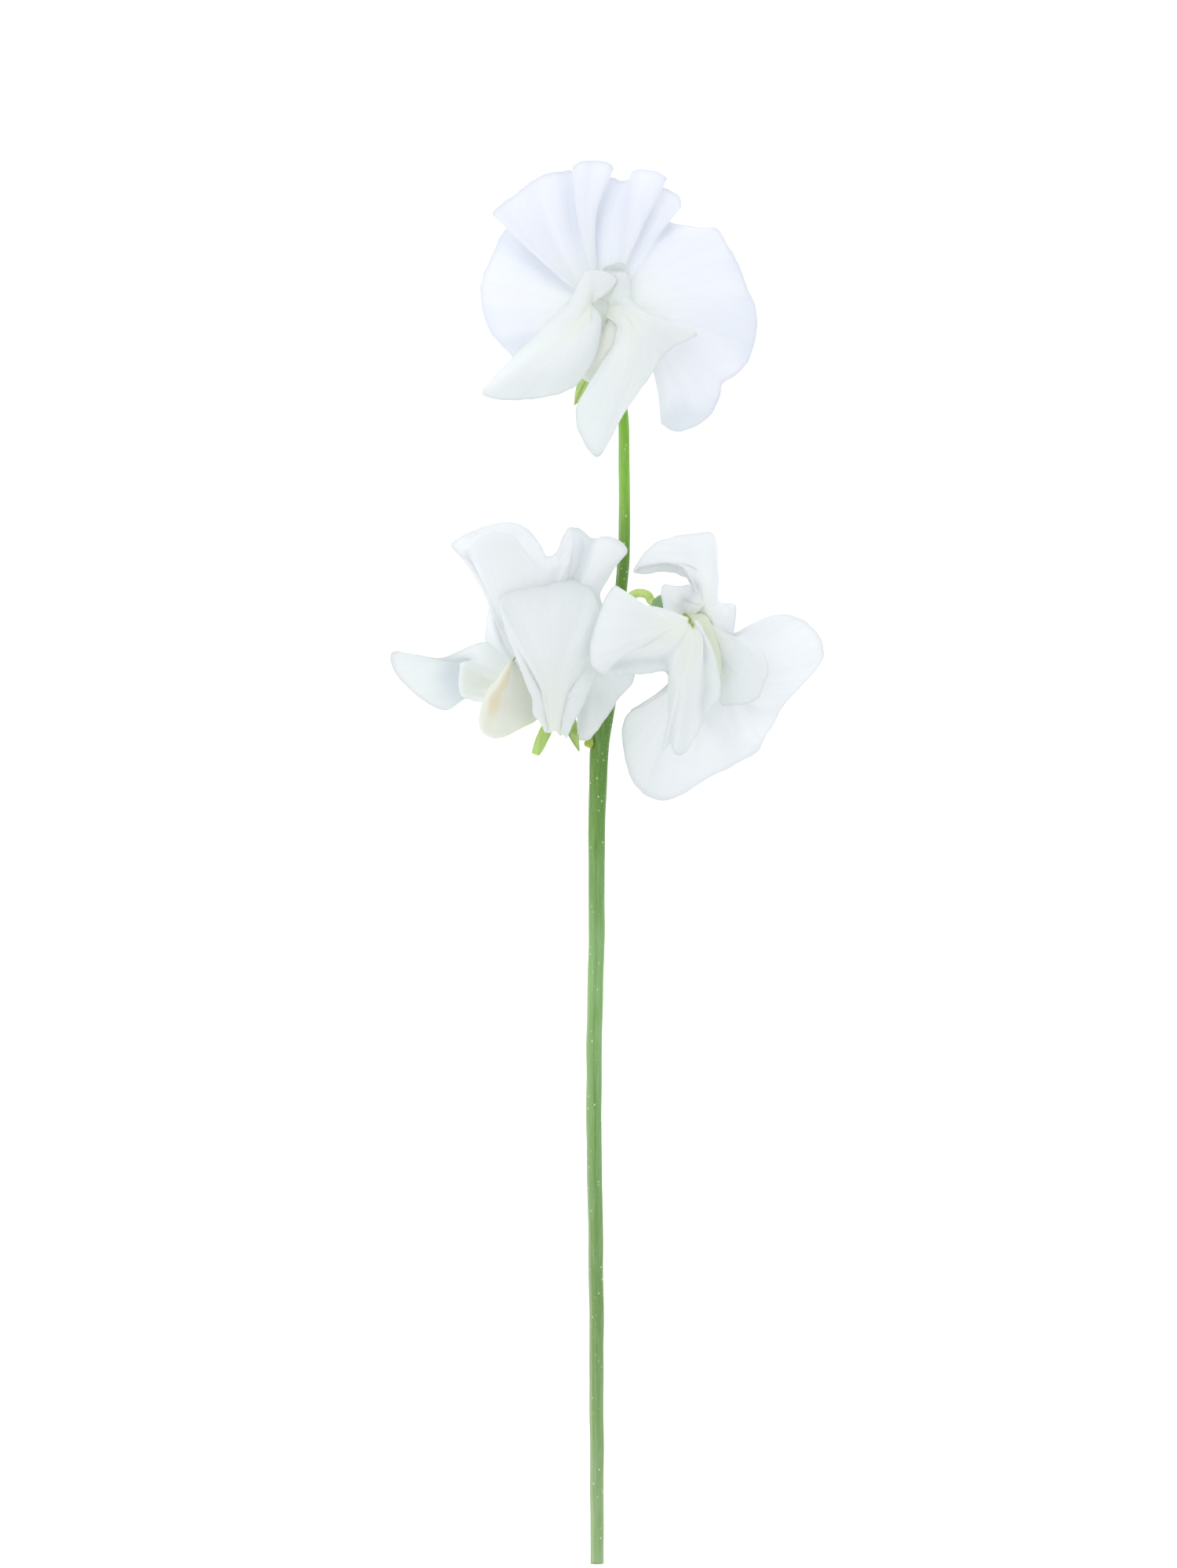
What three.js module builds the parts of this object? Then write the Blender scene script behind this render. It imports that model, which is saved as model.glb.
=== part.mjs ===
// A cut stem of white sweet pea with three open blossoms, lying on a surface.
//
// Millimetres. +Y runs up the stem, +Z away from the surface, +X to the right.
// Each blossom is a group with its origin on the surface, under the blossom's heart.
import * as THREE from "three";

// ---- driving dimensions ---------------------------------------------------------

const PETAL = 0.4; // thickness of standards and wings
const KEEL = 0.3; // thickness of the two keel petals, grown together
const FILAMENTS = 0.2; // thickness of the stamens' open sheath
const THROAT = 9; // height above the calyx's foot where the petals part
const BLADE_ROWS = 8; // about how many rows of faces run from claw to margin
const KEEL_ROWS = 12;
const CUP = { depth: 5.5, radius: 3, wall: 0.45, floor: 1.2 };
const TOOTH_BEND = 1.9; // radians that a calyx tooth bends outwards
const PEDICEL = 0.75; // radius of a flower stalk
const SEAT = 0.3; // gap between organs that grow from one another
const ROOT = CUP.floor + SEAT; // height above the calyx's foot where the inner organs start

const WHITE = { color: 0xf1f4f5, roughness: 0.55 };
const CREAM = { color: 0xe6ecd2, roughness: 0.5 };
const LEAF_GREEN = { color: 0x8fb84e, roughness: 0.6 };
const STEM_GREEN = { color: 0x7da352, roughness: 0.6 };

const vec = (x = 0, y = 0, z = 0) => new THREE.Vector3(x, y, z);

// ---- geometry -------------------------------------------------------------------

// A smooth line through the points, finely sampled.
function smooth(points, samples = 12) {
  const curve = new THREE.CatmullRomCurve3(points, false, "centripetal");
  return curve.getPoints(samples * (points.length - 1));
}

// The line cut into evenly spaced points.
function spaced(line, count) {
  const travelled = [0];
  for (let i = 1; i < line.length; i++) {
    travelled.push(travelled[i - 1] + line[i].distanceTo(line[i - 1]));
  }
  const total = travelled.at(-1);
  const points = [];
  let k = 0;
  for (let i = 0; i < count; i++) {
    const want = (total * i) / (count - 1);
    while (k < line.length - 2 && travelled[k + 1] < want) k++;
    const share = (want - travelled[k]) / (travelled[k + 1] - travelled[k]);
    points.push(line[k].clone().lerp(line[k + 1], Math.min(share, 1)));
  }
  return points;
}

// A value between [place, value] pairs.
function between(pairs, place) {
  const next = pairs.findIndex(([p]) => p >= place);
  if (next === 0) return pairs[0][1];
  if (next < 0) return pairs.at(-1)[1];
  const [p0, v0] = pairs[next - 1];
  const [p1, v1] = pairs[next];
  return THREE.MathUtils.mapLinear(place, p0, p1, v0, v1);
}

function closedBody(points, faces) {
  const geometry = new THREE.BufferGeometry().setFromPoints(points);
  geometry.setIndex(faces.flat());
  geometry.computeVertexNormals();
  return geometry;
}

// A sheet of even thickness over a grid of points, grid[row][column].
function sheet(grid, thickness) {
  const rows = grid.length;
  const columns = grid[0].length;
  const clamp = THREE.MathUtils.clamp;
  const point = (i, j) => grid[clamp(i, 0, rows - 1)][clamp(j, 0, columns - 1)];
  const front = [];
  const back = [];
  for (let i = 0; i < rows; i++) {
    for (let j = 0; j < columns; j++) {
      const along = vec().subVectors(point(i + 1, j), point(i - 1, j));
      const across = vec().subVectors(point(i, j + 1), point(i, j - 1));
      const offset = along.cross(across).setLength(thickness / 2);
      front.push(point(i, j).clone().add(offset));
      back.push(point(i, j).clone().sub(offset));
    }
  }
  const id = (i, j) => i * columns + j;
  const under = front.length;
  const faces = [];
  for (let i = 0; i + 1 < rows; i++) {
    for (let j = 0; j + 1 < columns; j++) {
      const [a, b, c, d] = [id(i, j), id(i + 1, j), id(i + 1, j + 1), id(i, j + 1)];
      faces.push([a, b, c], [a, c, d]);
      faces.push([under + a, under + c, under + b], [under + a, under + d, under + c]);
    }
  }
  const rim = [];
  for (let i = 0; i < rows - 1; i++) rim.push(id(i, 0));
  for (let j = 0; j < columns - 1; j++) rim.push(id(rows - 1, j));
  for (let i = rows - 1; i > 0; i--) rim.push(id(i, columns - 1));
  for (let j = columns - 1; j > 0; j--) rim.push(id(0, j));
  rim.forEach((p, k) => {
    const q = rim[(k + 1) % rim.length];
    faces.push([p, under + p, q], [under + p, under + q, q]);
  });
  return closedBody([...front, ...back], faces);
}

// A body through rings of points, closed at both ends.
function loft(rings) {
  const sides = rings[0].length;
  const points = rings.flat();
  const centre = (ring) => ring.reduce((sum, p) => sum.add(p), vec()).divideScalar(sides);
  const first = points.push(centre(rings[0])) - 1;
  const last = points.push(centre(rings.at(-1))) - 1;
  const end = (rings.length - 1) * sides;
  const faces = [];
  for (let j = 0; j < sides; j++) {
    const k = (j + 1) % sides;
    faces.push([first, k, j], [last, end + j, end + k]);
    for (let i = 0; i < end; i += sides) {
      faces.push([i + j, i + k, i + k + sides], [i + j, i + k + sides, i + j + sides]);
    }
  }
  return closedBody(points, faces);
}

// Frames carried along a line without twisting: at each point, the way ahead and two ways across.
function framesAlong(line, side) {
  return line.map((point, i) => {
    const next = line[Math.min(i + 1, line.length - 1)];
    const ahead = vec().subVectors(next, line[Math.max(i - 1, 0)]).normalize();
    side = side.clone().addScaledVector(ahead, -side.dot(ahead)).normalize();
    return { point, ahead, side, other: vec().crossVectors(ahead, side) };
  });
}

// A round stalk along a line, its radius given for each share of the length.
function stalk(line, sides, radiusAt, side = vec(0, 0, 1)) {
  const rings = framesAlong(line, side).map((frame, i) => {
    const radius = radiusAt(i / (line.length - 1));
    const ring = [];
    for (let j = 0; j < sides; j++) {
      const angle = (2 * Math.PI * j) / sides;
      const p = frame.point.clone();
      p.addScaledVector(frame.side, radius * Math.cos(angle));
      ring.push(p.addScaledVector(frame.other, radius * Math.sin(angle)));
    }
    return ring;
  });
  return loft(rings);
}

// ---- a blossom's axes -------------------------------------------------------------

// Places are given as height above the calyx's foot, then towards the standard, then sideways.
function axes({ throat, ahead, up }) {
  const forward = vec(...ahead).normalize();
  const above = vec(...up);
  above.addScaledVector(forward, -above.dot(forward)).normalize();
  const side = vec().crossVectors(above, forward);
  const foot = vec(...throat).addScaledVector(forward, -THROAT);
  const place = (height, towards, sideways) => {
    const p = foot.clone().addScaledVector(forward, height);
    return p.addScaledVector(above, towards).addScaledVector(side, sideways);
  };
  return { forward, above, side, foot, place };
}

// ---- organs -------------------------------------------------------------------------

// A petal's ribs run up its claw, from inside the calyx, and fan out over the blade to the margin.
// A claw section gives height, distance towards the standard, distance sideways, and half its span
// in those two directions. A rib lists the points it passes beyond the claw: x, y, and height above
// the surface. A number at its end arches the rib by that much before the margin.
function petal(flower, claw, ribs) {
  const { place } = axes(flower);
  const routes = ribs.map((rib) => arched(rib).map((p) => vec(...p)));
  const longest = Math.max(...routes.map((route) => route.length));
  const lines = routes.map((route, k) => {
    const across = 1 - (2 * k) / (ribs.length - 1);
    const foot = claw.map(([height, towards, sideways, spanTowards, spanSideways]) =>
      place(height, towards + across * spanTowards, sideways + across * spanSideways),
    );
    let blade = route;
    if (route.length < longest) blade = spaced(smooth([foot.at(-1), ...route]), longest + 1).slice(1);
    const curve = new THREE.CatmullRomCurve3([...foot, ...blade], false, "centripetal");
    const segments = foot.length + blade.length - 1;
    const steps = Math.round(BLADE_ROWS / longest);
    const line = foot.slice(0, -1);
    for (let i = 0; i <= longest * steps; i++) {
      line.push(curve.getPoint((foot.length - 1 + i / steps) / segments));
    }
    return line;
  });
  return sheet(lines[0].map((_, row) => lines.map((line) => line[row])), PETAL);
}

function arched(rib) {
  if (typeof rib.at(-1) !== "number") return rib;
  const [middle, margin, lift] = rib;
  const crown = middle.map((value, axis) => (value + margin[axis]) / 2);
  crown[2] += lift;
  return [middle, crown, margin];
}

// The standard's claw lies across the upper side of the calyx; turn is 1 or -1.
const standardClaw = (turn) => [
  [ROOT, 1.2, 0, 0, 0.6 * turn],
  [6, 1.75, 0, 0, 1.2 * turn],
  [9.8, 2.6, 0, 0, 1.7 * turn],
];

// A wing's claw stands edgewise on its own side of the calyx; turn is 1 or -1.
const wingClaw = (turn) => [
  [ROOT, -0.1, 1.25 * turn, 0.3, 0],
  [5.5, -0.1, 1.7 * turn, 0.5, 0],
  [THROAT, 0.1, 2.1 * turn, 0.8, 0],
];

// The keel is a boat. Its stem line runs below and its two brims above; they meet at the beak.
function keelLines(flower, { bottom, brim }) {
  const { place } = axes(flower);
  const line = (towards, points) => {
    const neck = [place(ROOT, 0.8 * towards, 0), place(5.5, towards, 0)];
    return spaced(smooth([...neck, ...points.map((p) => vec(...p))]), KEEL_ROWS);
  };
  return { lower: line(-1.5, bottom), upper: line(0.7, brim) };
}

function keel(flower, shape) {
  const { lower, upper } = keelLines(flower, shape);
  const widths = [[0, 0.75], [0.2, 1], [0.5, shape.half], [0.8, 0.8 * shape.half], [1, 0.4]];
  const grid = lower.map((low, i) => {
    const high = upper[i];
    const before = lower[Math.max(i - 1, 0)];
    const after = lower[Math.min(i + 1, KEEL_ROWS - 1)];
    const ahead = vec().subVectors(after, before).normalize();
    const out = vec().subVectors(high, low).cross(ahead).normalize();
    const wide = between(widths, i / (KEEL_ROWS - 1));
    return [1, 0.85, 0.55, 0.22, 0, -0.22, -0.55, -0.85, -1].map((a) => {
      const point = low.clone().lerp(high, Math.abs(a) ** 1.6);
      const bulge = Math.sin(Math.PI * (0.12 + 0.8 * Math.abs(a)));
      return point.addScaledVector(out, Math.sign(a) * wide * bulge);
    });
  });
  return sheet(grid, KEEL);
}

// The middle of the keel's hollow, as far as the given row.
function keelMiddle(flower, shape, rows) {
  const { lower, upper } = keelLines(flower, shape);
  return lower.slice(0, rows).map((low, i) => low.clone().lerp(upper[i], 0.5));
}

// The stamens' filaments are joined in an open trough that wraps the ovary.
function stamens(flower, shape) {
  const { above } = axes(flower);
  const line = spaced(smooth(keelMiddle(flower, shape, KEEL_ROWS - 2)), 12);
  const grid = framesAlong(line, above).map((frame, i) => {
    const radius = between([[0, 0.3], [0.4, 0.26], [0.6, 0.46], [1, 0.36]], i / (line.length - 1));
    return [-135, -80, -27, 27, 80, 135].map((degrees) => {
      const angle = THREE.MathUtils.degToRad(degrees);
      const p = frame.point.clone().addScaledVector(frame.side, -radius * Math.cos(angle));
      return p.addScaledVector(frame.other, radius * Math.sin(angle));
    });
  });
  return sheet(grid, FILAMENTS);
}

// The pistil: a slim ovary that narrows to the style, whose tip looks out of the keel's beak.
function pistil(flower, shape) {
  const { above } = axes(flower);
  const line = spaced(smooth(keelMiddle(flower, shape, KEEL_ROWS)), 14);
  const radii = [[0, 0.12], [0.4, 0.1], [0.6, 0.2], [1, 0.13]];
  return stalk(line, 6, (share) => between(radii, share), above);
}

// The calyx: a cup with five pointed teeth that bend outwards.
// A blossom's teeth are listed as direction in degrees (0 is away from the standard), length,
// and, where it isn't the usual one, bend.
function calyx(flower) {
  const { place } = axes(flower);
  const perTooth = 6;
  const half = perTooth / 2;
  const cup = [[0, 0.85], [0.7, 1.75], [2.2, 2.6], [CUP.depth, CUP.radius]];
  const stations = [];
  flower.teeth.forEach((tooth, t) => {
    const next = flower.teeth[t + 1] ?? [flower.teeth[0][0] + 360, ...flower.teeth[0].slice(1)];
    for (let step = 0; step < perTooth; step++) {
      const degrees = THREE.MathUtils.lerp(tooth[0], next[0], step / perTooth);
      const [, length, bend = TOOTH_BEND] = step > half ? next : tooth;
      const share = Math.abs(step - half) / half;
      stations.push({ angle: THREE.MathUtils.degToRad(degrees), reach: length * share ** 0.8, bend });
    }
  });
  const ring = (share, wall, floor) =>
    stations.map(({ angle, reach, bend }) => {
      const travelled = floor + (CUP.depth + reach - floor) * share;
      const arc = Math.max(reach, 3) / bend;
      const turned = Math.max(travelled - CUP.depth, 0) / arc;
      const height = Math.min(travelled, CUP.depth) + (arc + wall) * Math.sin(turned);
      const radius = between(cup, Math.min(travelled, CUP.depth)) + arc * (1 - Math.cos(turned));
      const inside = radius - wall * Math.cos(turned);
      return place(height, -inside * Math.cos(angle), inside * Math.sin(angle));
    });
  const outer = [0, 0.07, 0.22, 0.45, 0.65, 0.84, 0.97].map((share) => ring(share, 0, 0));
  const inner = [0.95, 0.75, 0.5, 0.25, 0].map((share) => ring(share, CUP.wall, CUP.floor));
  return loft([...outer, ...inner]);
}

// ---- the top blossom ------------------------------------------------------------------

const top = {
  origin: [0.75, 200.25],
  throat: [-0.25, -6.75, 13],
  ahead: [-0.02, 0.1, 0.99],
  up: [0.08, 1, 0],
  teeth: [[-22, 10.5], [50, 3.5], [130, 3.5], [190, 3.5], [265, 3.5]],
};

const topStandard = [
  [[6.2, -5, 13], [8.4, -11.5, 11], [9.4, -18.3, 1.8]],
  [[6.8, -5, 13.2], [9.4, -12, 11.2], [11.6, -19.4, 0.6]],
  [[7.6, -5, 13.2], [10.6, -11, 11], [14.2, -18.9, 1.6]],
  [[8.2, -4.8, 13.2], [11.8, -9.8, 11.2], [17, -17.2, 3.8]],
  [[8.8, -4.2, 13.2], [12.6, -7.9, 11], [18.7, -14, 5.5]],
  [[13.4, -6.6, 11.4], [19.2, -11.8, 7]],
  [[14, -5.4, 11.8], [21.4, -10.4, 6.8]],
  [[14.6, -3.8, 12], [23.6, -7.9, 5.6]],
  [[14.6, -1, 12.2], [24.8, -3, 5.4]],
  [[14.4, 1, 12.4], [24.2, 0.8, 5.4]],
  [[14.2, 2.8, 12.4], [22.9, 3.6, 6.4]],
  [[13.4, 5, 12.2], [21.8, 6.9, 7]],
  [[12.1, 7.1, 12.2], [20, 10, 8.5]],
  [[11.2, 8.4, 12.2], [18.3, 12.7, 9.4]],
  [[10, 9, 12.2], [15.8, 12.9, 9.4]],
  [[8.8, 9.2, 11.8], [13.2, 13.4, 8.4]],
  [[7.9, 9.2, 11.2], [11, 13.8, 7.4]],
  [[7.6, 9.7, 11.4], [11, 14.6, 8.4]],
  [[7.5, 10.2, 11.6], [12.4, 16, 10]],
  [[7.2, 10.8, 11.8], [12.3, 17.6, 11]],
  [[6.8, 11.2, 12], [11, 18.6, 11.6]],
  [[6, 11.8, 12.1], [9.6, 19.2, 11.8]],
  [[5.7, 12.2, 13.2], [9.5, 20, 13.6]],
  [[6.1, 12.6, 14.5], [10.2, 20.4, 15.6]],
  [[5.4, 12.8, 14.6], [9.1, 21.2, 15.4]],
  [[4.6, 12.8, 14], [7.4, 21.8, 14]],
  [[3.8, 12.6, 13.2], [5.2, 21.9, 12.4]],
  [[3.2, 12.3, 12.7], [4.5, 21.2, 11.4]],
  [[2.5, 12.1, 12.3], [4.1, 20.4, 10.8]],
  [[1.4, 12, 12.1], [3, 20.3, 10.4]],
  [[0.2, 12.2, 12], [1.7, 20.8, 10.4]],
  [[-1.4, 12.5, 11.9], [0.8, 21, 10.8]],
  [[-1.5, 12.8, 12.8], [0.9, 21.5, 12.4]],
  [[-1.3, 13, 13.7], [1.6, 22.1, 14]],
  [[-1.7, 13, 14], [1, 22.9, 14.6]],
  [[-2.3, 12.9, 14.1], [-1.2, 23.3, 14.4]],
  [[-3, 12.8, 14], [-3, 23.2, 14.8]],
  [[-3.7, 12.7, 13.6], [-4.7, 22.4, 14.2]],
  [[-3.5, 12.5, 12.7], [-4.1, 22, 12.6]],
  [[-3.4, 12.3, 12], [-4, 21.8, 11]],
  [[-4.6, 11.9, 11.8], [-5.6, 21.9, 10.6]],
  [[-5.8, 11.6, 12.1], [-7.2, 21.7, 11.3]],
  [[-6.8, 11.2, 12.5], [-9.2, 21.2, 11.8]],
  [[-7.8, 10.8, 12.7], [-11.2, 20.2, 11.8]],
  [[-8.6, 10.2, 13.2], [-13, 18.8, 12.4]],
  [[-9.3, 9.6, 13.8], [-14.6, 17.4, 13.2]],
  [[-10, 9, 14.3], [-16.2, 16.4, 13.6]],
  [[-10.7, 8.3, 14.6], [-17.6, 14.8, 13.8]],
  [[-10.2, 8, 12.8], [-16.6, 14.5, 10.8]],
  [[-9.4, 7.8, 11], [-15, 14, 7.8]],
  [[-9.6, 6.8, 10.4], [-15.6, 12.6, 7]],
  [[-10, 5.6, 10.8], [-16.8, 10.8, 6.6]],
  [[-10.5, 4.2, 11.8], [-17.8, 8.2, 7]],
  [[-10.8, 2.4, 11.8], [-19, 5.2, 6.4]],
  [[-10.8, 0.6, 11.8], [-19.4, 2.2, 6]],
  [[-10.5, -1, 11.8], [-19.1, -0.8, 5]],
  [[-9.8, -2.6, 12], [-17.9, -3.7, 4.6]],
  [[-8.8, -3.6, 12.4], [-15.8, -6.1, 3.8]],
  [[-7.6, -4.4, 12.8], [-12.8, -8.8, 4.4]],
  [[-6.4, -4.6, 13.2], [-7.9, -10.2, 8.5]],
];

const topLeftWing = [
  [[-1.3, 0.4, 18.8], [-1, 0.8, 18.9], [-0.7, 1.1, 18.8]],
  [[-0.9, 1.2, 18.8], [-0.1, 1.7, 19.1], [0.8, 2.1, 18.8]],
  [[-0.7, 1.8, 18.9], [0.6, 2.9, 19.1], [2.2, 4.1, 18.6]],
  [[-0.9, 2.4, 18.9], [0, 4, 19], [1, 5.2, 18.4]],
  [[-1.2, 2.6, 18.9], [-0.9, 5.7, 18.4], 0.3],
  [[-1.8, 2.4, 19.1], [-2.4, 5.6, 18], 0.4],
  [[-2.4, 1.5, 19.4], [-3.5, 4.2, 17.4], 0.6],
  [[-3.2, -0.2, 20], [-5.1, 1.1, 16.6], 1],
  [[-4, -1.6, 20.5], [-8.5, -2.1, 16], 1.8],
  [[-4.6, -2.8, 20.9], [-12.1, -6, 15.4], 2.4],
  [[-5.4, -4, 21.5], [-16.7, -10.5, 15.4], 3],
  [[-5.7, -4.8, 21.9], [-19.2, -13.5, 16], 3.2],
  [[-5.6, -5.4, 22.3], [-17, -14.7, 17], 3],
  [[-5, -5.8, 22.5], [-12, -14.9, 19], 2.4],
  [[-4.1, -5.8, 22.5], [-7.6, -14.2, 20.8], 1.8],
  [[-3.4, -5.2, 22.1], [-4.6, -12.9, 20.4], 1.6],
  [[-2.7, -4.4, 21.7], [-2.6, -10.6, 20.6], 1.2],
  [[-2.1, -3.4, 21], [-1.2, -8, 20.3], 0.9],
  [[-1.7, -2.4, 20.2], [-0.4, -5.2, 19.8], 0.5],
  [[-1.5, -1.2, 20], [-0.3, -2.8, 19.6], 0.2],
  [[-1.3, -0.4, 19.2], [-0.7, -1, 19.2], 0],
];

const topRightWing = [
  [[-0.3, 1.2, 17.1], [-0.4, 3.2, 17.1], [-0.3, 4.8, 17.1], [-0.1, 5.5, 16.7], [0, 6, 17]],
  [[0.6, 1.5, 17.3], [0.9, 3.4, 17.5], [1.3, 5.1, 17.5], [1.5, 5.8, 16.2], [1.6, 6.7, 17.6]],
  [[1.1, 1.5, 17.5], [1.6, 3.4, 17.4], [2.2, 5.1, 17.6], [2.3, 5.8, 16], [2.5, 6.9, 17.7]],
  [[1.5, 1.5, 17.7], [2.3, 3.4, 18], [2.9, 5.1, 18], [3.1, 5.8, 16.1], [3.3, 6.8, 17.5]],
  [[2, 1.2, 17.7], [3, 2.9, 17.6], [3.7, 4.6, 17.1], [4, 5.1, 16.3], [4.2, 5.6, 16.6]],
  [[2.4, 1, 17.6], [3.4, 1.9, 17.2], [4.3, 2.8, 15.8]],
  [[2.6, 0.8, 17.6], [3.6, 1.2, 17.4], [4.3, 1.2, 16.6]],
  [[4.2, 0.3, 18], [5.2, 0.1, 17.9], [5.9, -0.1, 17]],
  [[4.6, -0.1, 18.4], [6.4, -0.9, 18.6], [8.4, -1.8, 17.2]],
  [[4.8, -0.5, 18.8], [7.6, -1.6, 19.2], [11.6, -2.9, 17.2]],
  [[5, -0.9, 19.2], [8.4, -2.4, 19.8], [14.6, -4, 17.2]],
  [[5.1, -1.2, 19.5], [8.4, -3.2, 20], [14.7, -4.9, 17.6]],
  [[5.1, -1.5, 19.8], [8, -4, 20.2], [11.6, -6.3, 18.2]],
  [[5.1, -1.8, 20], [7.4, -5.2, 20.6], [9.4, -8.1, 18.2]],
  [[5, -2.1, 20.2], [6.8, -6.6, 21.2], [7.6, -11, 18.2]],
  [[4.9, -2.4, 20.4], [6.2, -8, 21.8], [5.4, -14, 18.4]],
  [[4.8, -2.7, 20.6], [5.4, -9.2, 22.2], [3.2, -17.4, 18.6]],
  [[4.6, -2.8, 20.8], [4.6, -10.2, 22.6], [1.4, -20.8, 18.6]],
  [[4.4, -2.95, 20.9], [3.6, -11, 22.7], [-0.6, -23.9, 18.2]],
  [[4.2, -3.1, 21], [2.4, -11, 22.5], [-2.4, -22.6, 18.4]],
  [[3.9, -3.2, 20.9], [1.4, -10.6, 22.3], [-4, -19.2, 19]],
  [[3.6, -3.3, 20.8], [1, -9.6, 22.1], [-4.2, -16, 19.8]],
  [[3.3, -3.4, 20.6], [1.2, -8.4, 21.8], [-2.6, -13.2, 20.4]],
  [[3, -3.45, 20.3], [1.8, -7, 21.2], [-0.6, -10, 20.8]],
  [[2.7, -3.5, 19.9], [2.2, -5.5, 20.4], [1.2, -7.5, 20.2]],
  [[2.4, -3.4, 19.5], [2.2, -4.6, 19.6], [2, -5.8, 19.2]],
];

const topKeel = {
  bottom: [
    [0.2, -8.5, 13.3], [-1.1, -10.9, 15], [-2.2, -12.2, 16.6], [-0.8, -10.8, 18],
    [1.6, -7.8, 18.6], [3.4, -5.8, 18.5], [4.6, -4.6, 18.3],
  ],
  brim: [[0.5, -5, 15], [1.2, -3, 15.9], [2.2, -2.6, 16.4], [3.4, -3.1, 17.2], [4.4, -4, 17.9]],
  half: 1.9,
};

// ---- the left blossom -----------------------------------------------------------------

const left = {
  origin: [-7.75, 134],
  throat: [0.25, 4, 13],
  ahead: [-0.45, -0.15, 0.88],
  up: [0.2, 0.97, 0.1],
  teeth: [[-8, 9.5], [36, 9.5], [110, 3.5], [180, 3.5], [250, 3.5]],
};

const leftStandard = [
  [[4.4, 5, 15], [4.6, 1.8, 15.4], [4.5, -1, 15.6]],
  [[4.8, 5.4, 14.6], [5, 2, 14.4], [4.8, -2.6, 13.4]],
  [[5.6, 5.4, 14.9], [6, 2.4, 14.6], [6.4, -2.4, 13.2]],
  [[6.6, 6.4, 15.3], [9, 0.8, 12.5]],
  [[7.2, 7.4, 15.8], [11.2, 4, 13]],
  [[7.2, 9.2, 16.2], [13.5, 7.2, 14]],
  [[6.8, 12.1, 16.4], [12.5, 10.9, 15]],
  [[6, 15.2, 16.6], [10, 15.9, 16]],
  [[5.2, 17.1, 16.6], [8.1, 20.5, 16]],
  [[4.8, 17.8, 16.6], [9, 22.5, 17.5], [10.8, 25.2, 17]],
  [[4.2, 18.1, 17], [8.4, 24, 19], [12.5, 27.4, 17.8]],
  [[3.6, 18.3, 17.2], [7.4, 24.8, 19.4], [10.4, 29.3, 18.8]],
  [[3, 18.5, 17], [6.6, 25, 19.2], [8.4, 29.6, 18.2]],
  [[2.5, 18.7, 16.6], [5.6, 25.1, 16.8], [7, 29.4, 15]],
  [[2, 18.8, 16.4], [4.7, 25.2, 16.4], [6, 30, 12.8]],
  [[1.6, 18.8, 16.6], [4, 25.3, 18], [4.5, 31, 13.6]],
  [[1.2, 18.8, 16.9], [3.3, 25.4, 19.6], [3.6, 28, 18.4], [3.4, 31.2, 15.6]],
  [[0.7, 18.8, 17], [2.7, 25.4, 20], [2.9, 27, 18], [2.8, 30.9, 15.4]],
  [[0.2, 18.8, 17.2], [2, 25.9, 19.8], [2, 26, 16], [2.2, 29.4, 13]],
  [[-0.4, 18.8, 17.4], [0.8, 24.9, 20], [0.9, 24.6, 15.5], [1.2, 27.4, 12]],
  [[-1, 18.8, 17.6], [-0.6, 24.4, 20.2], [-0.5, 24, 15], [-0.4, 26.6, 11]],
  [[-2, 18.8, 18], [-2.2, 25.3, 20.6], [-2, 24.4, 14.5], [-1.4, 28.4, 9.5]],
  [[-3.2, 18.5, 18.2], [-4, 27.4, 21], [-3.6, 26.2, 14], [-3.4, 31, 6]],
  [[-4.5, 18.2, 18.2], [-5.8, 29.5, 21.4], [-5.6, 28, 13], [-5.8, 32, 2]],
  [[-5.8, 18, 18], [-8, 30.3, 21.4], [-7.8, 28.6, 12], [-8.8, 32.2, 0.8]],
  [[-6.8, 17.8, 17.6], [-10, 29.8, 21], [-10.2, 28.2, 13], [-11.6, 31, 3.5]],
  [[-7.5, 17.2, 17], [-12, 27.7, 19.4], [-13, 27.4, 15], [-14, 29.8, 10]],
  [[-8, 16.5, 16.4], [-12.9, 26.6, 17], [-15.6, 28.3, 15.2]],
  [[-8, 15.5, 16], [-11.8, 24, 15.5], [-13.5, 26.2, 15.5]],
  [[-8, 14.5, 15.8], [-9.8, 20.2, 15.5], [-11, 23, 15.5]],
  [[-7.5, 13, 15.6], [-8.8, 16.5, 15.8], [-9.5, 19.8, 15]],
  [[-6.5, 11.2, 15.2], [-8.4, 13.8, 16.4], [-10, 16.2, 14.4]],
  [[-5.2, 9, 15.2], [-8, 11.5, 15.4], [-10.2, 13.4, 13.5]],
];

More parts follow.
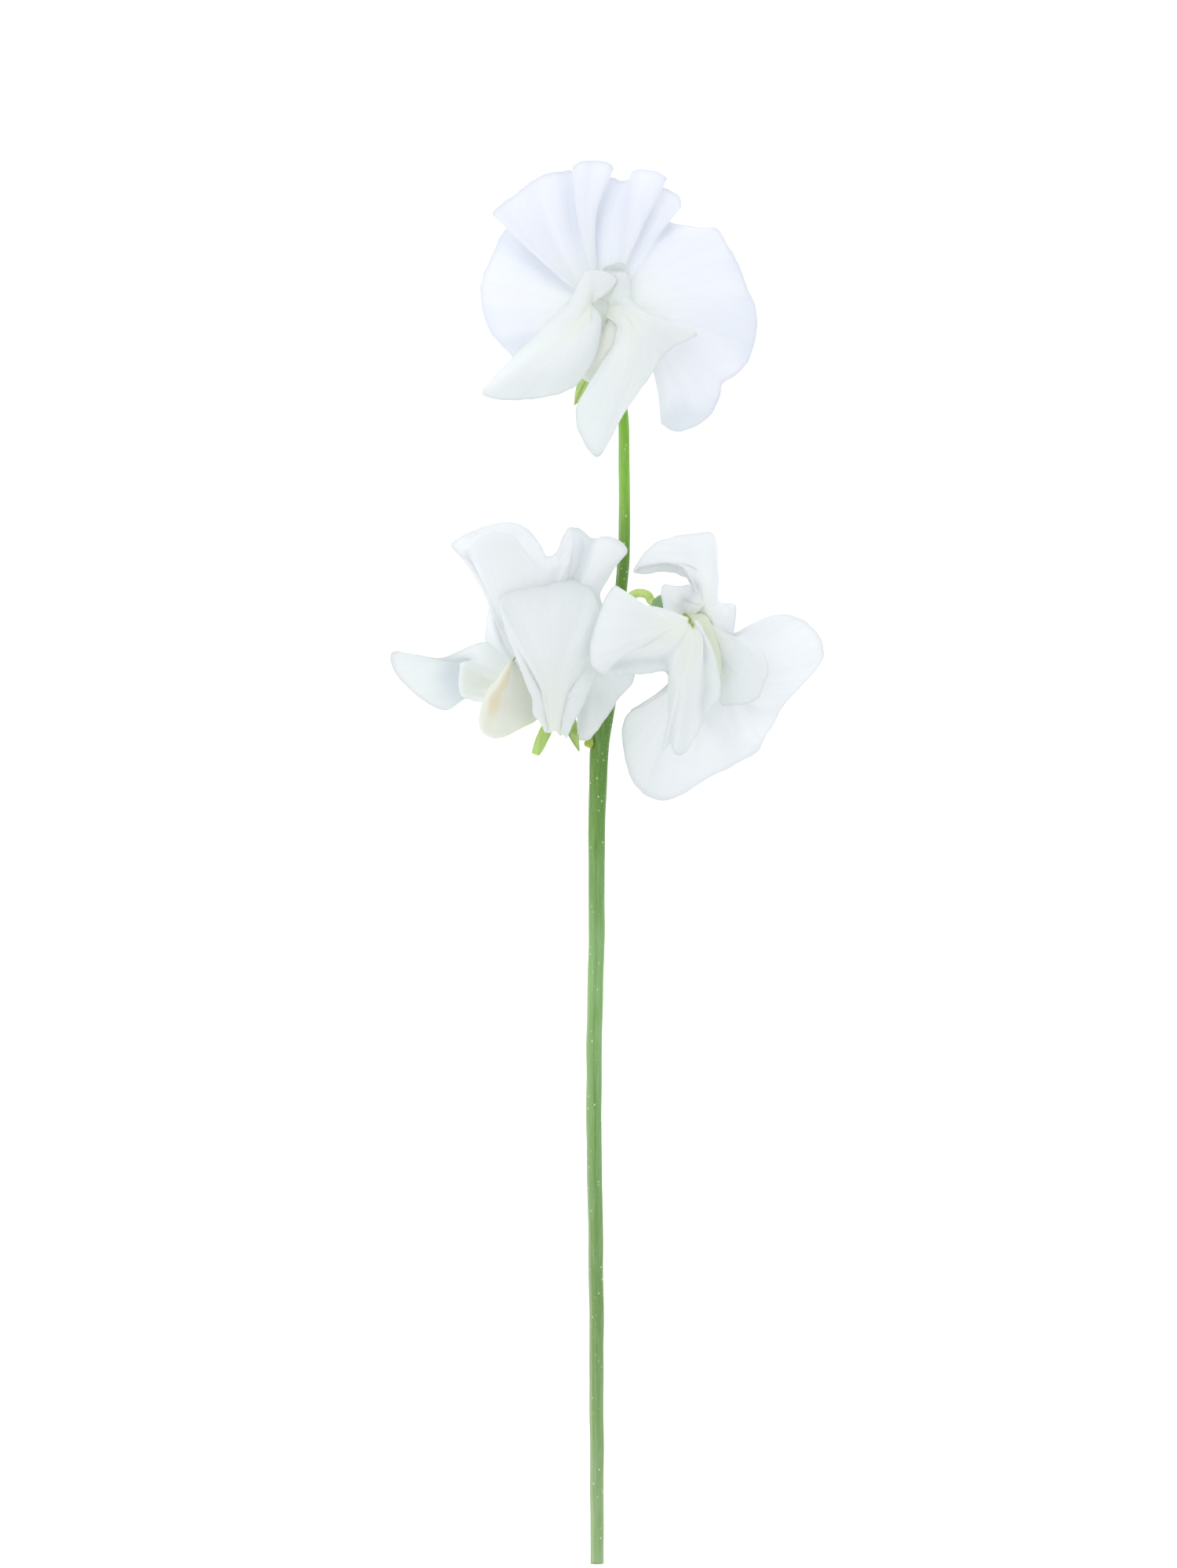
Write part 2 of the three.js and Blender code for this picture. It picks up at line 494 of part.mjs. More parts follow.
const leftNearWing = [
  [[2, -1.6, 18.8], [2.8, -2.4, 18.4], 0.1],
  [[2.2, -0.2, 20], [3.6, -0.4, 19], 0.6],
  [[2.6, 1.6, 21.6], [4.8, 1.6, 19.6], 1],
  [[3.2, 4, 23], [6.4, 5.1, 20.4], 1.6],
  [[3.5, 5.2, 24], [7.5, 7.8, 21], 2],
  [[3.4, 6.8, 25], [6, 10.4, 25.4], [7.9, 12.8, 22.4], [8.2, 13, 21]],
  [[2.8, 8, 25.8], [5.6, 13.6, 26], [7.7, 17.8, 22.4], [8, 18.2, 20.6]],
  [[2, 8.8, 26.2], [3.9, 15, 25.6], [5.5, 19.6, 22.4], [5.8, 20.9, 20.6]],
  [[0.8, 9, 26.4], [1, 15.2, 25.8], [1.2, 19.8, 22.6], [1.3, 21.3, 20.6]],
  [[-0.4, 8.8, 26.2], [-2.4, 15, 25.4], [-4.3, 19.6, 22.2], [-4.7, 21, 20.4]],
  [[-1.2, 8.2, 25.8], [-4.6, 14.4, 24.6], [-7, 19, 21.4], [-7.6, 20.2, 19.6]],
  [[-1.7, 7, 25.2], [-4.6, 12, 24.6], [-7, 16.4, 21.8], [-7.5, 16.6, 20]],
  [[-1.8, 5.8, 24.4], [-5.8, 11.8, 22.4], 1.2],
  [[-1.6, 4.8, 23.6], [-4.9, 9.6, 22.8], 0.8],
  [[-1.2, 3.6, 22.6], [-3.6, 6, 22.2], 0.6],
  [[-0.8, 2.6, 21.6], [-2.6, 3.8, 21.4], 0.4],
  [[-0.6, 1.6, 20.8], [-2.6, 1.6, 20.2], 0.3],
  [[-0.4, 0.2, 20], [-1.4, 0, 19.2], 0.3],
  [[0, -1, 18.8], [-0.6, -1.5, 18.6], 0.1],
];

const leftFarWing = [
  [[-4.6, 6.4, 13], [-5.2, 8, 12.8], [-5.8, 9.5, 12.5], [-6.2, 10.6, 12.2]],
  [[-5.4, 6.2, 12.8], [-6.6, 8.6, 12.8], [-7.8, 11, 12.4], [-9, 12.8, 12]],
  [[-6, 6, 12.6], [-8.6, 8.2, 13], [-11.2, 10.5, 13], [-12.1, 12.5, 12]],
  [[-6.4, 5.6, 12.4], [-9.6, 7.6, 13], [-13.6, 9.4, 13.4], [-13.4, 10, 8.6], [-17.5, 10.4, 9]],
  [[-6.6, 5.2, 12.2], [-10, 7, 12.6], [-14, 8.4, 13.8], [-13.2, 9, 8], [-22.5, 11.2, 10.5]],
  [[-6.6, 4.8, 12], [-10.2, 6.2, 12.8], [-14.2, 7.2, 13.6], [-13.2, 7.8, 7.6], [-25.2, 11.2, 11.5]],
  [[-6.6, 4.4, 11.8], [-10.2, 5.4, 12.6], [-14.2, 6, 13.8], [-13.2, 6.5, 7], [-24.2, 7.5, 9.5]],
  [[-6.4, 4, 11.6], [-10, 4.8, 11.6], [-14, 4.8, 12.8], [-13.2, 5.2, 6.6], [-20, 3.6, 7]],
  [[-6.2, 3.6, 11.4], [-9.4, 4.2, 11], [-13.4, 4.2, 11], [-13, 4.5, 6.6], [-16.5, 2.1, 6]],
  [[-5.8, 3.2, 11.4], [-8.4, 3.6, 10.4], [-10.8, 4, 9.4], [-12.6, 4.2, 8], [-13.8, 4, 7.4]],
  [[-5.2, 2.8, 11.6], [-7, 3, 10.8], [-8.6, 3.2, 10], [-10.2, 3.4, 9], [-11.8, 3.4, 8.2]],
];

const leftKeel = {
  bottom: [
    [-1.2, 1.4, 13.2], [-4.5, -0.8, 14.6], [-9, -2.4, 16.2], [-11, -0.8, 17.6], [-10.6, 2.6, 18.6],
    [-9.8, 4.8, 19], [-8.4, 6.2, 19.3], [-7.2, 8.2, 19.6], [-5.9, 10, 19.8],
  ],
  brim: [[-1.6, 4.8, 14.8], [-3, 5.2, 16.2], [-3.8, 6.5, 17.6], [-4.6, 8.2, 18.6], [-5.5, 9.7, 19.3]],
  half: 1.7,
};

// ---- the right blossom ----------------------------------------------------------------

const right = {
  origin: [15, 149.9],
  throat: [-0.2, 0.2, 19],
  ahead: [0.6, -0.33, 0.73],
  up: [0.65, 0.55, -0.3],
  teeth: [[0, 2, 1.1], [72, 3, 0.7], [144, 1.6, 0.3], [216, 0.8, 0.3], [288, 3, 1.1]],
};

const rightStandard = [
  [[-1.2, 2, 21.2], [-2.8, 1.7, 21.4], [-4.4, 1.2, 21.8]],
  [[-1.2, 3.2, 20.8], [-2.9, 4.3, 20.9], [-4.9, 5.6, 21.2]],
  [[-0.6, 3.4, 17.8], [-1.6, 4.8, 19.6], [-2.2, 5.8, 19.8]],
  [[0.5, 4.4, 17.6], [-0.4, 6.4, 18.4]],
  [[0.8, 5.6, 17.2], [-1.4, 8.6, 19.8], [-2.2, 7.8, 17.2]],
  [[0.6, 7.2, 17.4], [-4.2, 9.5, 20.4], [-5.2, 8.2, 17.6]],
  [[0.4, 8.6, 17.4], [-8.2, 9, 20.6], [-9.3, 7.8, 19]],
  [[0.6, 10, 16.8], [-8, 10.6, 19]],
  [[1.2, 10.8, 16], [-6, 12.6, 17.2]],
  [[1.9, 10.8, 15.2], [-3.2, 13.8, 15.5]],
  [[2.6, 10, 14.4], [0.2, 14.2, 13.5]],
  [[3.2, 9, 14], [3, 14.4, 12.2]],
  [[3.6, 7.2, 14.2], [4, 11.9, 12.4]],
  [[3.8, 5, 14.8], [4.2, 7.5, 13]],
  [[3.9, 2.9, 15.8], [4.3, 3.6, 14.5]],
  [[4.8, 2.1, 17], [6.9, 2.8, 18.2]],
  [[4.8, 0.6, 16.8], [6.8, 0.6, 17.2]],
  [[5, -0.8, 16], [6.8, -2, 14]],
  [[5.8, -1.8, 14.6], [9.2, -0.4, 10.5]],
  [[6.8, -2.8, 13.8], [12, 1.1, 8.5]],
  [[7.6, -3.6, 13.2], [15.4, 1.5, 7.5]],
  [[8.2, -4.8, 13], [18.5, 0, 8]],
  [[8.6, -6.2, 12.6], [20.8, -2.9, 9]],
  [[8.7, -7.9, 12.2], [20.5, -6.4, 8]],
  [[8.5, -9.6, 11.8], [17.8, -9.6, 6]],
  [[8.2, -11.2, 11.8], [15.2, -12.4, 4.8]],
  [[7.8, -12, 12.2], [10.8, -14.2, 9.2], [13.4, -15.2, 5.4]],
  [[7.2, -12.6, 12.8], [9.6, -15.6, 10.2], [12.4, -16.9, 5.8]],
  [[6.5, -13, 13], [8, -16.6, 10.4], [11.6, -18.4, 5.4]],
  [[5.6, -13.3, 11.4], [7.4, -17.6, 7.2], [10.6, -20.2, 3.8]],
  [[3.8, -13.6, 10.8], [5.8, -18.8, 6], [7.4, -22.3, 2.8]],
  [[2, -13.8, 10], [2.2, -18.6, 7.4], [2.2, -24.9, 1.4]],
  [[0.4, -13.6, 10], [-2, -27.5, 0.5]],
  [[-1, -13, 10.4], [-5.2, -28.1, 0.4]],
  [[-2, -12.2, 10.8], [-8, -27, 0.8]],
  [[-2.6, -11.2, 11.4], [-10, -23.8, 3]],
  [[-2.8, -10.4, 12], [-11, -19.4, 5]],
  [[-2.8, -9.6, 12.6], [-11, -16.2, 6.5]],
  [[-2.6, -8.8, 13.4], [-9.9, -14.1, 8]],
  [[-2.2, -7.8, 14.2], [-7.1, -12.8, 10]],
  [[-1.6, -6.6, 15.2], [-4.1, -10.8, 12]],
];

const rightNearWing = [
  [[-0.9, 0.7, 25.4], [-2, 1.1, 25], 0.1],
  [[-1.8, 0.8, 26.2], [-4.2, 2.1, 25.4], 0.6],
  [[-2.8, 0.7, 27.2], [-7, 2.6, 26], 1.2],
  [[-3.8, 0.5, 28], [-9.5, 3.4, 26.6], 1.6],
  [[-4.6, 0.3, 28.8], [-12.5, 5.8, 27], 2],
  [[-5, -0.4, 29.2], [-14.8, 1.2, 27.6], 2.4],
  [[-5.2, -1.2, 29.4], [-16.1, -3.1, 27.8], 2.6],
  [[-5.1, -2, 29.4], [-15.9, -6.9, 28], 2.4],
  [[-4.9, -2.6, 29.4], [-11, -5.4, 28.2], [-12.6, -7, 26.4], [-13.4, -8.4, 27.4]],
  [[-4.4, -3.2, 29], [-8.8, -5.2, 27.4], [-9.8, -6.6, 25.2], [-10.3, -8.3, 26.4]],
  [[-3.8, -3.6, 28.4], [-6.2, -5.2, 26.8], [-6.8, -6.4, 24.6], [-7.1, -8.1, 25.6]],
  [[-3, -4, 27.6], [-4, -5.4, 26], [-4.2, -6.6, 24.2], [-4.2, -7.8, 24.4]],
  [[-2.6, -4.6, 27], [-3.8, -10.6, 22], 1.6],
  [[-2, -5.2, 26.8], [-3.8, -14.4, 20.4], 2],
  [[-1.5, -5.6, 26.6], [-4.2, -17.5, 19], 2.4],
  [[-1.1, -5.9, 26.4], [-4.6, -20.2, 17.8], 2.8],
  [[-0.7, -6.1, 26.4], [-3.4, -19, 18.4], 2.8],
  [[-0.3, -6.2, 26.2], [-2.6, -20.8, 17.8], 3],
  [[0.1, -6.2, 26], [-1, -20.5, 18], 2.8],
  [[0.4, -6.1, 25.8], [0.3, -18.4, 18.8], 2.4],
  [[0.7, -5.8, 25.6], [1.2, -9, 24.2], [1.4, -12.4, 21.4], [1.9, -15.4, 20]],
  [[1.1, -5.2, 25.4], [1.6, -8, 23.4], [2.4, -11, 21.6], [3.5, -13, 21.4]],
  [[1.4, -4.4, 25.2], [1.7, -6.4, 23.2], [3, -9.4, 22.6], [4.4, -11.4, 22]],
  [[1.5, -3.4, 25], [1.6, -4.8, 23.2], [2.9, -6.8, 23], [4.2, -8.1, 22.8]],
  [[1.4, -2.2, 25], [1.6, -2.9, 23.8], [2.3, -3.6, 23.8], [3.2, -4.1, 23.8]],
  [[0.9, -0.8, 25], [1.6, -1.1, 24.6], 0],
  [[0.3, 0.2, 24.9], [0.9, 0.4, 24.6], 0],
];

const rightFarWing = [
  [[3.8, -0.9, 20], [5, -1.4, 19.6], 0],
  [[4.6, -1.4, 20], [7.1, -2.4, 18.6], 0.3],
  [[5.4, -2, 20], [9.1, -3, 18], 0.6],
  [[6, -2.8, 20], [10.6, -4.1, 17.8], 0.9],
  [[6.4, -3.8, 20], [11.8, -6, 17.6], 1.1],
  [[6.4, -4.8, 19.8], [12, -7.9, 17.2], 1.2],
  [[6.2, -5.8, 19.6], [11.2, -10.4, 16.6], 1.2],
  [[5.8, -6.4, 19.4], [10.5, -11.9, 16], 1.1],
  [[5.4, -6.6, 19.2], [8.5, -12.8, 15.6], 1],
  [[4.9, -6.4, 19.2], [6.2, -13.1, 15.8], 0.8],
  [[4.4, -5.8, 19.2], [4.5, -12.8, 16.6], 0.6],
  [[3.9, -4.6, 19.4], [4.1, -9.4, 17.8], 0.4],
  [[3.4, -3.2, 19.8], [3.5, -5.6, 19], 0.2],
];

const rightKeel = {
  bottom: [[-0.6, -1.6, 20.8], [-0.5, -4.5, 21.4], [0.2, -8, 21], [0.9, -10.6, 20], [1.5, -12, 18.8]],
  brim: [[1.6, 0.4, 20.2], [2.8, -2.4, 21], [3.4, -6, 20.8], [3.2, -9.4, 20], [2.2, -11.8, 19.2]],
  half: 0.9,
};

// ---- the whole ------------------------------------------------------------------------

const plant = new THREE.Group();

function add(parent, name, geometry, look) {
  const material = new THREE.MeshStandardMaterial({ ...look, metalness: 0 });
  const mesh = new THREE.Mesh(geometry, material);
  mesh.name = name;
  parent.add(mesh);
}

function blossom(name, flower, organs) {
  const group = new THREE.Group();
  group.position.set(...flower.origin, 0);
  plant.add(group);
  add(group, name + "_calyx", calyx(flower), LEAF_GREEN);
  add(group, name + "_keel", keel(flower, organs.keel), CREAM);
  add(group, name + "_stamens", stamens(flower, organs.keel), CREAM);
  add(group, name + "_pistil", pistil(flower, organs.keel), LEAF_GREEN);
  for (const [part, claw, ribs] of organs.petals) {
    add(group, name + "_" + part, petal(flower, claw, ribs), WHITE);
  }
  // The stalk meets the calyx's foot and follows the given route to the stem.
  const { foot, forward } = axes(flower);
  const route = [SEAT, 1.5].map((below) => foot.clone().addScaledVector(forward, -below));
  const line = smooth([...route, ...organs.pedicel.map((p) => vec(...p))], 6);
  add(group, name + "_pedicel", stalk(spaced(line, 9), 8, () => PEDICEL), LEAF_GREEN);
}

blossom("top", top, {
  keel: topKeel,
  petals: [
    ["standard", [...standardClaw(1), [11.3, 6.2, 0, 0, 2.2]], topStandard],
    ["left_wing", [...wingClaw(-1), [14, 5.9, -0.6, 0.9, 0.2]], topLeftWing],
    ["right_wing", [...wingClaw(1), [12.4, 6, 1, 0.7, 0.2]], topRightWing],
  ],
  pedicel: [[0.8, -9, 1.9], [1.9, -10.9, 3.2], [2.7, -13.1, 5.1]],
});

blossom("left", left, {
  keel: leftKeel,
  petals: [
    ["standard", standardClaw(1), leftStandard],
    ["near_wing", [...wingClaw(1), [14, -4.3, 3.8, 0, 1.2]], leftNearWing],
    ["far_wing", [...wingClaw(-1), [10.9, -0.1, -3.85, 0.9, 0]], leftFarWing],
  ],
  pedicel: [[6, 3.6, 2], [6.5, 0, 2.6], [6.4, -2.2, 5.2], [6.85, -3, 7.05]],
});

blossom("right", right, {
  keel: rightKeel,
  petals: [
    ["standard", standardClaw(-1), rightStandard],
    ["near_wing", [...wingClaw(-1), [13.4, -2, -3.5, -0.3, -0.7]], rightNearWing],
    ["far_wing", [...wingClaw(1), [11.8, 1, 1.2, 0.6, -0.3]], rightFarWing],
  ],
  pedicel: [[-7, 4.5, 11.6], [-8.4, 4.9, 10.9], [-9.5, 4.5, 10.2], [-10.1, 3.6, 9.5]],
});

// The stem's points run from the cut end to the top blossom.
const stemRoute = [
  [-0.1, 0, 1.1], [-0.2, 18, 2.2], [-0.2, 37, 3.5], [-0.5, 62, 5.1], [-0.6, 80, 6.2], [-0.2, 102, 7.2],
  [-0.1, 122, 8], [0.3, 130.5, 8.3], [1.1, 135, 8.5], [2.2, 141, 8.6], [3.2, 150.5, 8.6],
  [3.8, 157.4, 8.2], [4.2, 164, 7.8], [4.2, 174, 6.8], [4.1, 181.8, 6], [3.5, 186.8, 5.2],
];
const stemRadius = [
  [0, 1], [0.3, 1.15], [0.6, 1.25], [0.69, 1.4], [0.73, 1.25], [0.8, 0.95], [0.9, 0.88], [1, 0.8],
];
const stemLine = spaced(smooth(stemRoute.map((p) => vec(...p))), 44);
add(plant, "peduncle", stalk(stemLine, 8, (share) => between(stemRadius, share)), STEM_GREEN);

// A small bract hugs the stem below the left blossom.
const bractLine = smooth([[-1.1, 130.6, 8.7], [-1.7, 131, 9], [-2.1, 131.6, 9.1]].map((p) => vec(...p)), 3);
const bractRadius = [[0, 0.35], [0.4, 0.6], [0.8, 0.45], [1, 0.15]];
add(plant, "left_bract", stalk(bractLine, 8, (share) => between(bractRadius, share)), LEAF_GREEN);

// The origin lies on the surface, under the middle of the whole stem and its blossoms.
const box = new THREE.Box3().setFromObject(plant, true);
const middle = box.getCenter(vec());
plant.position.set(-middle.x, -middle.y, -box.min.z);

export default plant;
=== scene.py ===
"""A cut stem of white sweet pea with three open blossoms, lying on a pale surface.

Lengths in the tables are millimetres, in the plant's own axes: +Y up the stem, +Z away from the
surface. Each blossom's points are counted from its own origin. Petals are smooth sheets drawn over
ribs that run from the calyx to the margin.
"""

import math

import bpy
import numpy as np
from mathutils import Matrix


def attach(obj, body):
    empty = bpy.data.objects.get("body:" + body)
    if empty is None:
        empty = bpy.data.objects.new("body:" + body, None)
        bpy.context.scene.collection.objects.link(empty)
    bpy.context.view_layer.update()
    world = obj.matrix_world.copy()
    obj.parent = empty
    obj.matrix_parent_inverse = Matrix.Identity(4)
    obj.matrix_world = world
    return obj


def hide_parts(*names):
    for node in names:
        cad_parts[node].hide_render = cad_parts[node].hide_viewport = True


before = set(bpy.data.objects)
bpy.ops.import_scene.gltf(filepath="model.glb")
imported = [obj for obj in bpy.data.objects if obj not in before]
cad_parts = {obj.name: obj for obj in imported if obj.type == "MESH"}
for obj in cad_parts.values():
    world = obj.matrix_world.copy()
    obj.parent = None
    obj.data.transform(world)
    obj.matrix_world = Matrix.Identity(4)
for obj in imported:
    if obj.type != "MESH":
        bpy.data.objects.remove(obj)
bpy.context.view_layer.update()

MM = 0.001
SHIFT = np.array([-1.4192, -111.7497, -0.1018])  # from the plant's axes to the CAD frame's origin

ROOT = 1.5  # height above a calyx's foot where the inner organs start
THROAT = 9.0  # height of a blossom's throat
CUP = dict(depth=5.5, radius=3.0, wall=0.35, floor=1.2)
USUAL_TOOTH = (1.9, 36, 0.8, 1)  # bend, half width (degrees), taper, bluntness
PETAL, KEEL_WALL, SHEATH_WALL = 0.24, 0.2, 0.1  # thicknesses
LOWEST_PETAL, LOWEST_HAIR = 0.35, 0.15  # heights that nothing of theirs goes below
UNEVEN_MARGIN = 0.15
FULL_SHADE_DEPTH = 4.0  # a crease this deep gets the full painted shade
HAIR_RADIUS = 0.022


# ---- curves and grids ----

def hermite(f, b, c, m1, m2):
    """The cubic from b to c at a share f, with the slopes m1 and m2 at its ends."""
    return ((2 * f**3 - 3 * f**2 + 1) * b + (f**3 - 2 * f**2 + f) * m1
            + (3 * f**2 - 2 * f**3) * c + (f**3 - f**2) * m2)


def spline(points, at):
    """A smooth line through the points; at counts points from 0."""
    p = np.asarray(points, float)
    p = np.vstack([2 * p[0] - p[1], p, 2 * p[-1] - p[-2]])
    at = np.asarray(at, float)
    i = np.clip(np.floor(at).astype(int), 0, len(p) - 4)
    a, b, c, d = (p[i + k] for k in range(4))
    g0, g1, g2 = (np.maximum(np.linalg.norm(v - u, axis=1, keepdims=True), 1e-6) ** 0.5
                  for u, v in ((a, b), (b, c), (c, d)))
    m1 = ((b - a) / g0 - (c - a) / (g0 + g1) + (c - b) / g1) * g1
    m2 = ((c - b) / g1 - (d - b) / (g1 + g2) + (d - c) / g2) * g1
    return hermite((at - i)[:, None], b, c, m1, m2)


def even(points, count):
    """The same smooth line as evenly spaced points."""
    fine = spline(points, np.linspace(0, len(points) - 1, 24 * (len(points) - 1) + 1))
    run = np.r_[0, np.cumsum(np.linalg.norm(np.diff(fine, axis=0), axis=1))]
    want = np.linspace(0, run[-1], count)
    return np.stack([np.interp(want, run, fine[:, k]) for k in range(3)], 1)


def across(lines, per):
    """Lines[k][row] filled in smoothly between neighbouring lines: returns grid[row][column]."""
    known = np.asarray(lines, float)
    known = np.concatenate([2 * known[:1] - known[1:2], known, 2 * known[-1:] - known[-2:-1]])
    t = np.linspace(0, len(known) - 3, (len(known) - 3) * per + 1)
    i = np.minimum(t.astype(int), len(known) - 4)
    a, b, c, d = (known[i + k] for k in range(4))
    return hermite((t - i)[:, None, None], b, c, (c - a) / 2, (d - b) / 2).transpose(1, 0, 2)


def relax(grid, times, strength):
    """Softens the inner points of a grid; strength may be given per row and column."""
    s = np.broadcast_to(strength, grid.shape[:2])[1:-1, 1:-1, None]
    for _ in range(times):
        mean = (grid[:-2, 1:-1] + grid[2:, 1:-1] + grid[1:-1, :-2] + grid[1:-1, 2:]) / 4
        grid[1:-1, 1:-1] += s * (mean - grid[1:-1, 1:-1])
    return grid


def unit(vectors):
    """The same ways, each one long."""
    return vectors / np.maximum(np.linalg.norm(vectors, axis=-1, keepdims=True), 1e-9)


def normals(grid):
    """The way that a grid faces at each of its points."""
    return unit(np.cross(np.gradient(grid, axis=0), np.gradient(grid, axis=1)))


def between(pairs, at):
    """The value at a place, from straight lines between (place, value) pairs."""
    places, values = zip(*pairs)
    return np.interp(at, places, values)


def wavy(at, lengths, seed):
    """A smooth seeded ripple along a line: each wavelength gets its own phase and size."""
    rng = np.random.default_rng(seed)
    total = np.zeros_like(at)
    for length in lengths:
        drift = 0.6 * np.sin(2 * np.pi * at / (4.7 * length) + rng.uniform(0, 6.28))
        total += rng.uniform(0.6, 1) * np.sin(2 * np.pi * at / length + rng.uniform(0, 6.28) + drift)
    return total / len(lengths)


def ease(x, low, high):
    """From 0 at low to 1 at high, smoothly."""
    t = np.clip((x - low) / (high - low), 0, 1)
    return t * t * (3 - 2 * t)


# ---- pieces ----

def put(name, data):
    """A new object in the scene."""
    thing = bpy.data.objects.new(name, data)
    bpy.context.scene.collection.objects.link(thing)
    return thing


def make(name, points, faces, node, material, uv=None, fold_shade=None):
    """A piece from points in the plant's axes; node is the CAD node that it stands for, if any."""
    mesh = bpy.data.meshes.new(name)
    mesh.from_pydata(((np.asarray(points) + SHIFT) * MM).tolist(), [], [list(f) for f in faces])
    if uv is not None:
        layer = mesh.uv_layers.new(name="petal")
        index = np.empty(len(mesh.loops), np.int32)
        mesh.loops.foreach_get("vertex_index", index)
        layer.data.foreach_set("uv", np.asarray(uv, np.float32)[index].ravel())
    if fold_shade is not None:
        depth = mesh.attributes.new("fold_shade", "FLOAT", "POINT")
        depth.data.foreach_set("value", np.asarray(fold_shade, np.float32))
    mesh.shade_smooth()
    mesh.materials.append(material)
    piece = put(name, mesh)
    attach(piece, "root")
    if node:
        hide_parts(node)
    return piece


def sheet(grid, thickness, values):
    """Both faces of a thin sheet and a rounded rim: points, faces, and values such as UVs per point."""
    rows, columns = grid.shape[:2]
    half = normals(grid) * np.broadcast_to(thickness, (rows, columns))[..., None] / 2
    size = rows * columns
    ids = np.arange(size).reshape(rows, columns)
    a, b, c, d = (ids[:-1, :-1], ids[1:, :-1], ids[1:, 1:], ids[:-1, 1:])
    front = np.stack([a, b, c, d], -1).reshape(-1, 4)
    back = np.stack([a, d, c, b], -1).reshape(-1, 4) + size
    rim = np.r_[ids[:-1, 0], ids[-1, :-1], ids[:0:-1, -1], ids[0, :0:-1]]
    inner = np.clip(np.stack([rim // columns, rim % columns]), 1, [[rows - 2], [columns - 2]])
    flat = grid.reshape(-1, 3)
    out = unit(flat[rim] - grid[inner[0], inner[1]])
    lip = flat[rim] + out * np.linalg.norm(half.reshape(-1, 3)[rim], axis=1, keepdims=True) * 0.8
    mid = 2 * size + np.arange(len(rim))
    after = np.roll(np.arange(len(rim)), -1)
    top = np.stack([rim, mid, mid[after], rim[after]], 1)
    under = np.stack([mid, rim + size, rim[after] + size, mid[after]], 1)
    points = np.vstack([(grid + half).reshape(-1, 3), (grid - half).reshape(-1, 3), lip])
    values = values.reshape(size, -1)
    return points, np.vstack([front, back, top, under]), np.vstack([values, values, values[rim]])


def loft(rings):
    """A body through closed rings, capped at both ends."""
    rings = np.asarray(rings, float)
    count, sides = rings.shape[:2]
    points = np.vstack([rings.reshape(-1, 3), rings[0].mean(0), rings[-1].mean(0)])
    j = np.arange(sides)
    k = (j + 1) % sides
    faces = []
    for i in range(0, (count - 1) * sides, sides):
        faces += np.stack([i + j, i + k, i + sides + k, i + sides + j], 1).tolist()
    first, last, end = count * sides, count * sides + 1, (count - 1) * sides
    faces += [[first, int(q), int(p)] for p, q in zip(j, k)]
    faces += [[last, int(end + p), int(end + q)] for p, q in zip(j, k)]
    uv = np.stack([np.tile(j / sides, count), np.repeat(np.linspace(0, 1, count), sides)], 1)
    return points, faces, np.vstack([uv, [0.5, 0], [0.5, 1]])


def frames(line, side):
    """Two ways across a line, carried along without twisting."""
    ahead = unit(np.gradient(line, axis=0))
    sides, side = [], np.asarray(side, float)
    for a in ahead:
        side = side - a * side.dot(a)
        side /= np.linalg.norm(side)
        sides.append(side)
    return np.array(sides), np.cross(ahead, sides)


def stalk(line, radius, sides=24, side=(0, 0, 1)):
    """A stalk along a line; radius(share, angle) is in millimetres."""
    u, v = frames(line, side)
    share = np.linspace(0, 1, len(line))[:, None]
    angle = np.linspace(0, 2 * np.pi, sides, endpoint=False)[None]
    r = np.broadcast_to(radius(share, angle), (len(line), sides))[..., None]
    around = np.cos(angle)[..., None] * u[:, None] + np.sin(angle)[..., None] * v[:, None]
    return loft(line[:, None] + r * around)


# ---- a blossom's axes ----

def axes(flower):
    """A blossom's place(height, towards, sideways) from its calyx's foot, and its upward way."""
    forward = np.array(flower["ahead"], float)
    forward /= np.linalg.norm(forward)
    above = np.array(flower["up"], float)
    above -= forward * above.dot(forward)
    above /= np.linalg.norm(above)
    side = np.cross(above, forward)
    foot = np.array(flower["throat"], float) - THROAT * forward

    def place(height, towards, sideways):
        return foot + forward * height + above * towards + side * sideways

    return place, above


def organ(name, flower, body, material, fold_shade=None):
    """A blossom's piece. The body is its points, counted from the blossom's origin, its faces and UVs."""
    points, faces, uv = body
    return make(name, points + [*flower["origin"], 0.0], faces, name, material, uv, fold_shade)


# ---- petals ----

def arched(rib):
    """A rib's points. One given as middle, margin and lift gets a point between, raised by the lift."""
    if isinstance(rib[-1], list):
        return rib
    middle, margin, lift = rib
    crown = [(a + b) / 2 for a, b in zip(middle, margin)]
    crown[2] += lift
    return [middle, crown, margin]


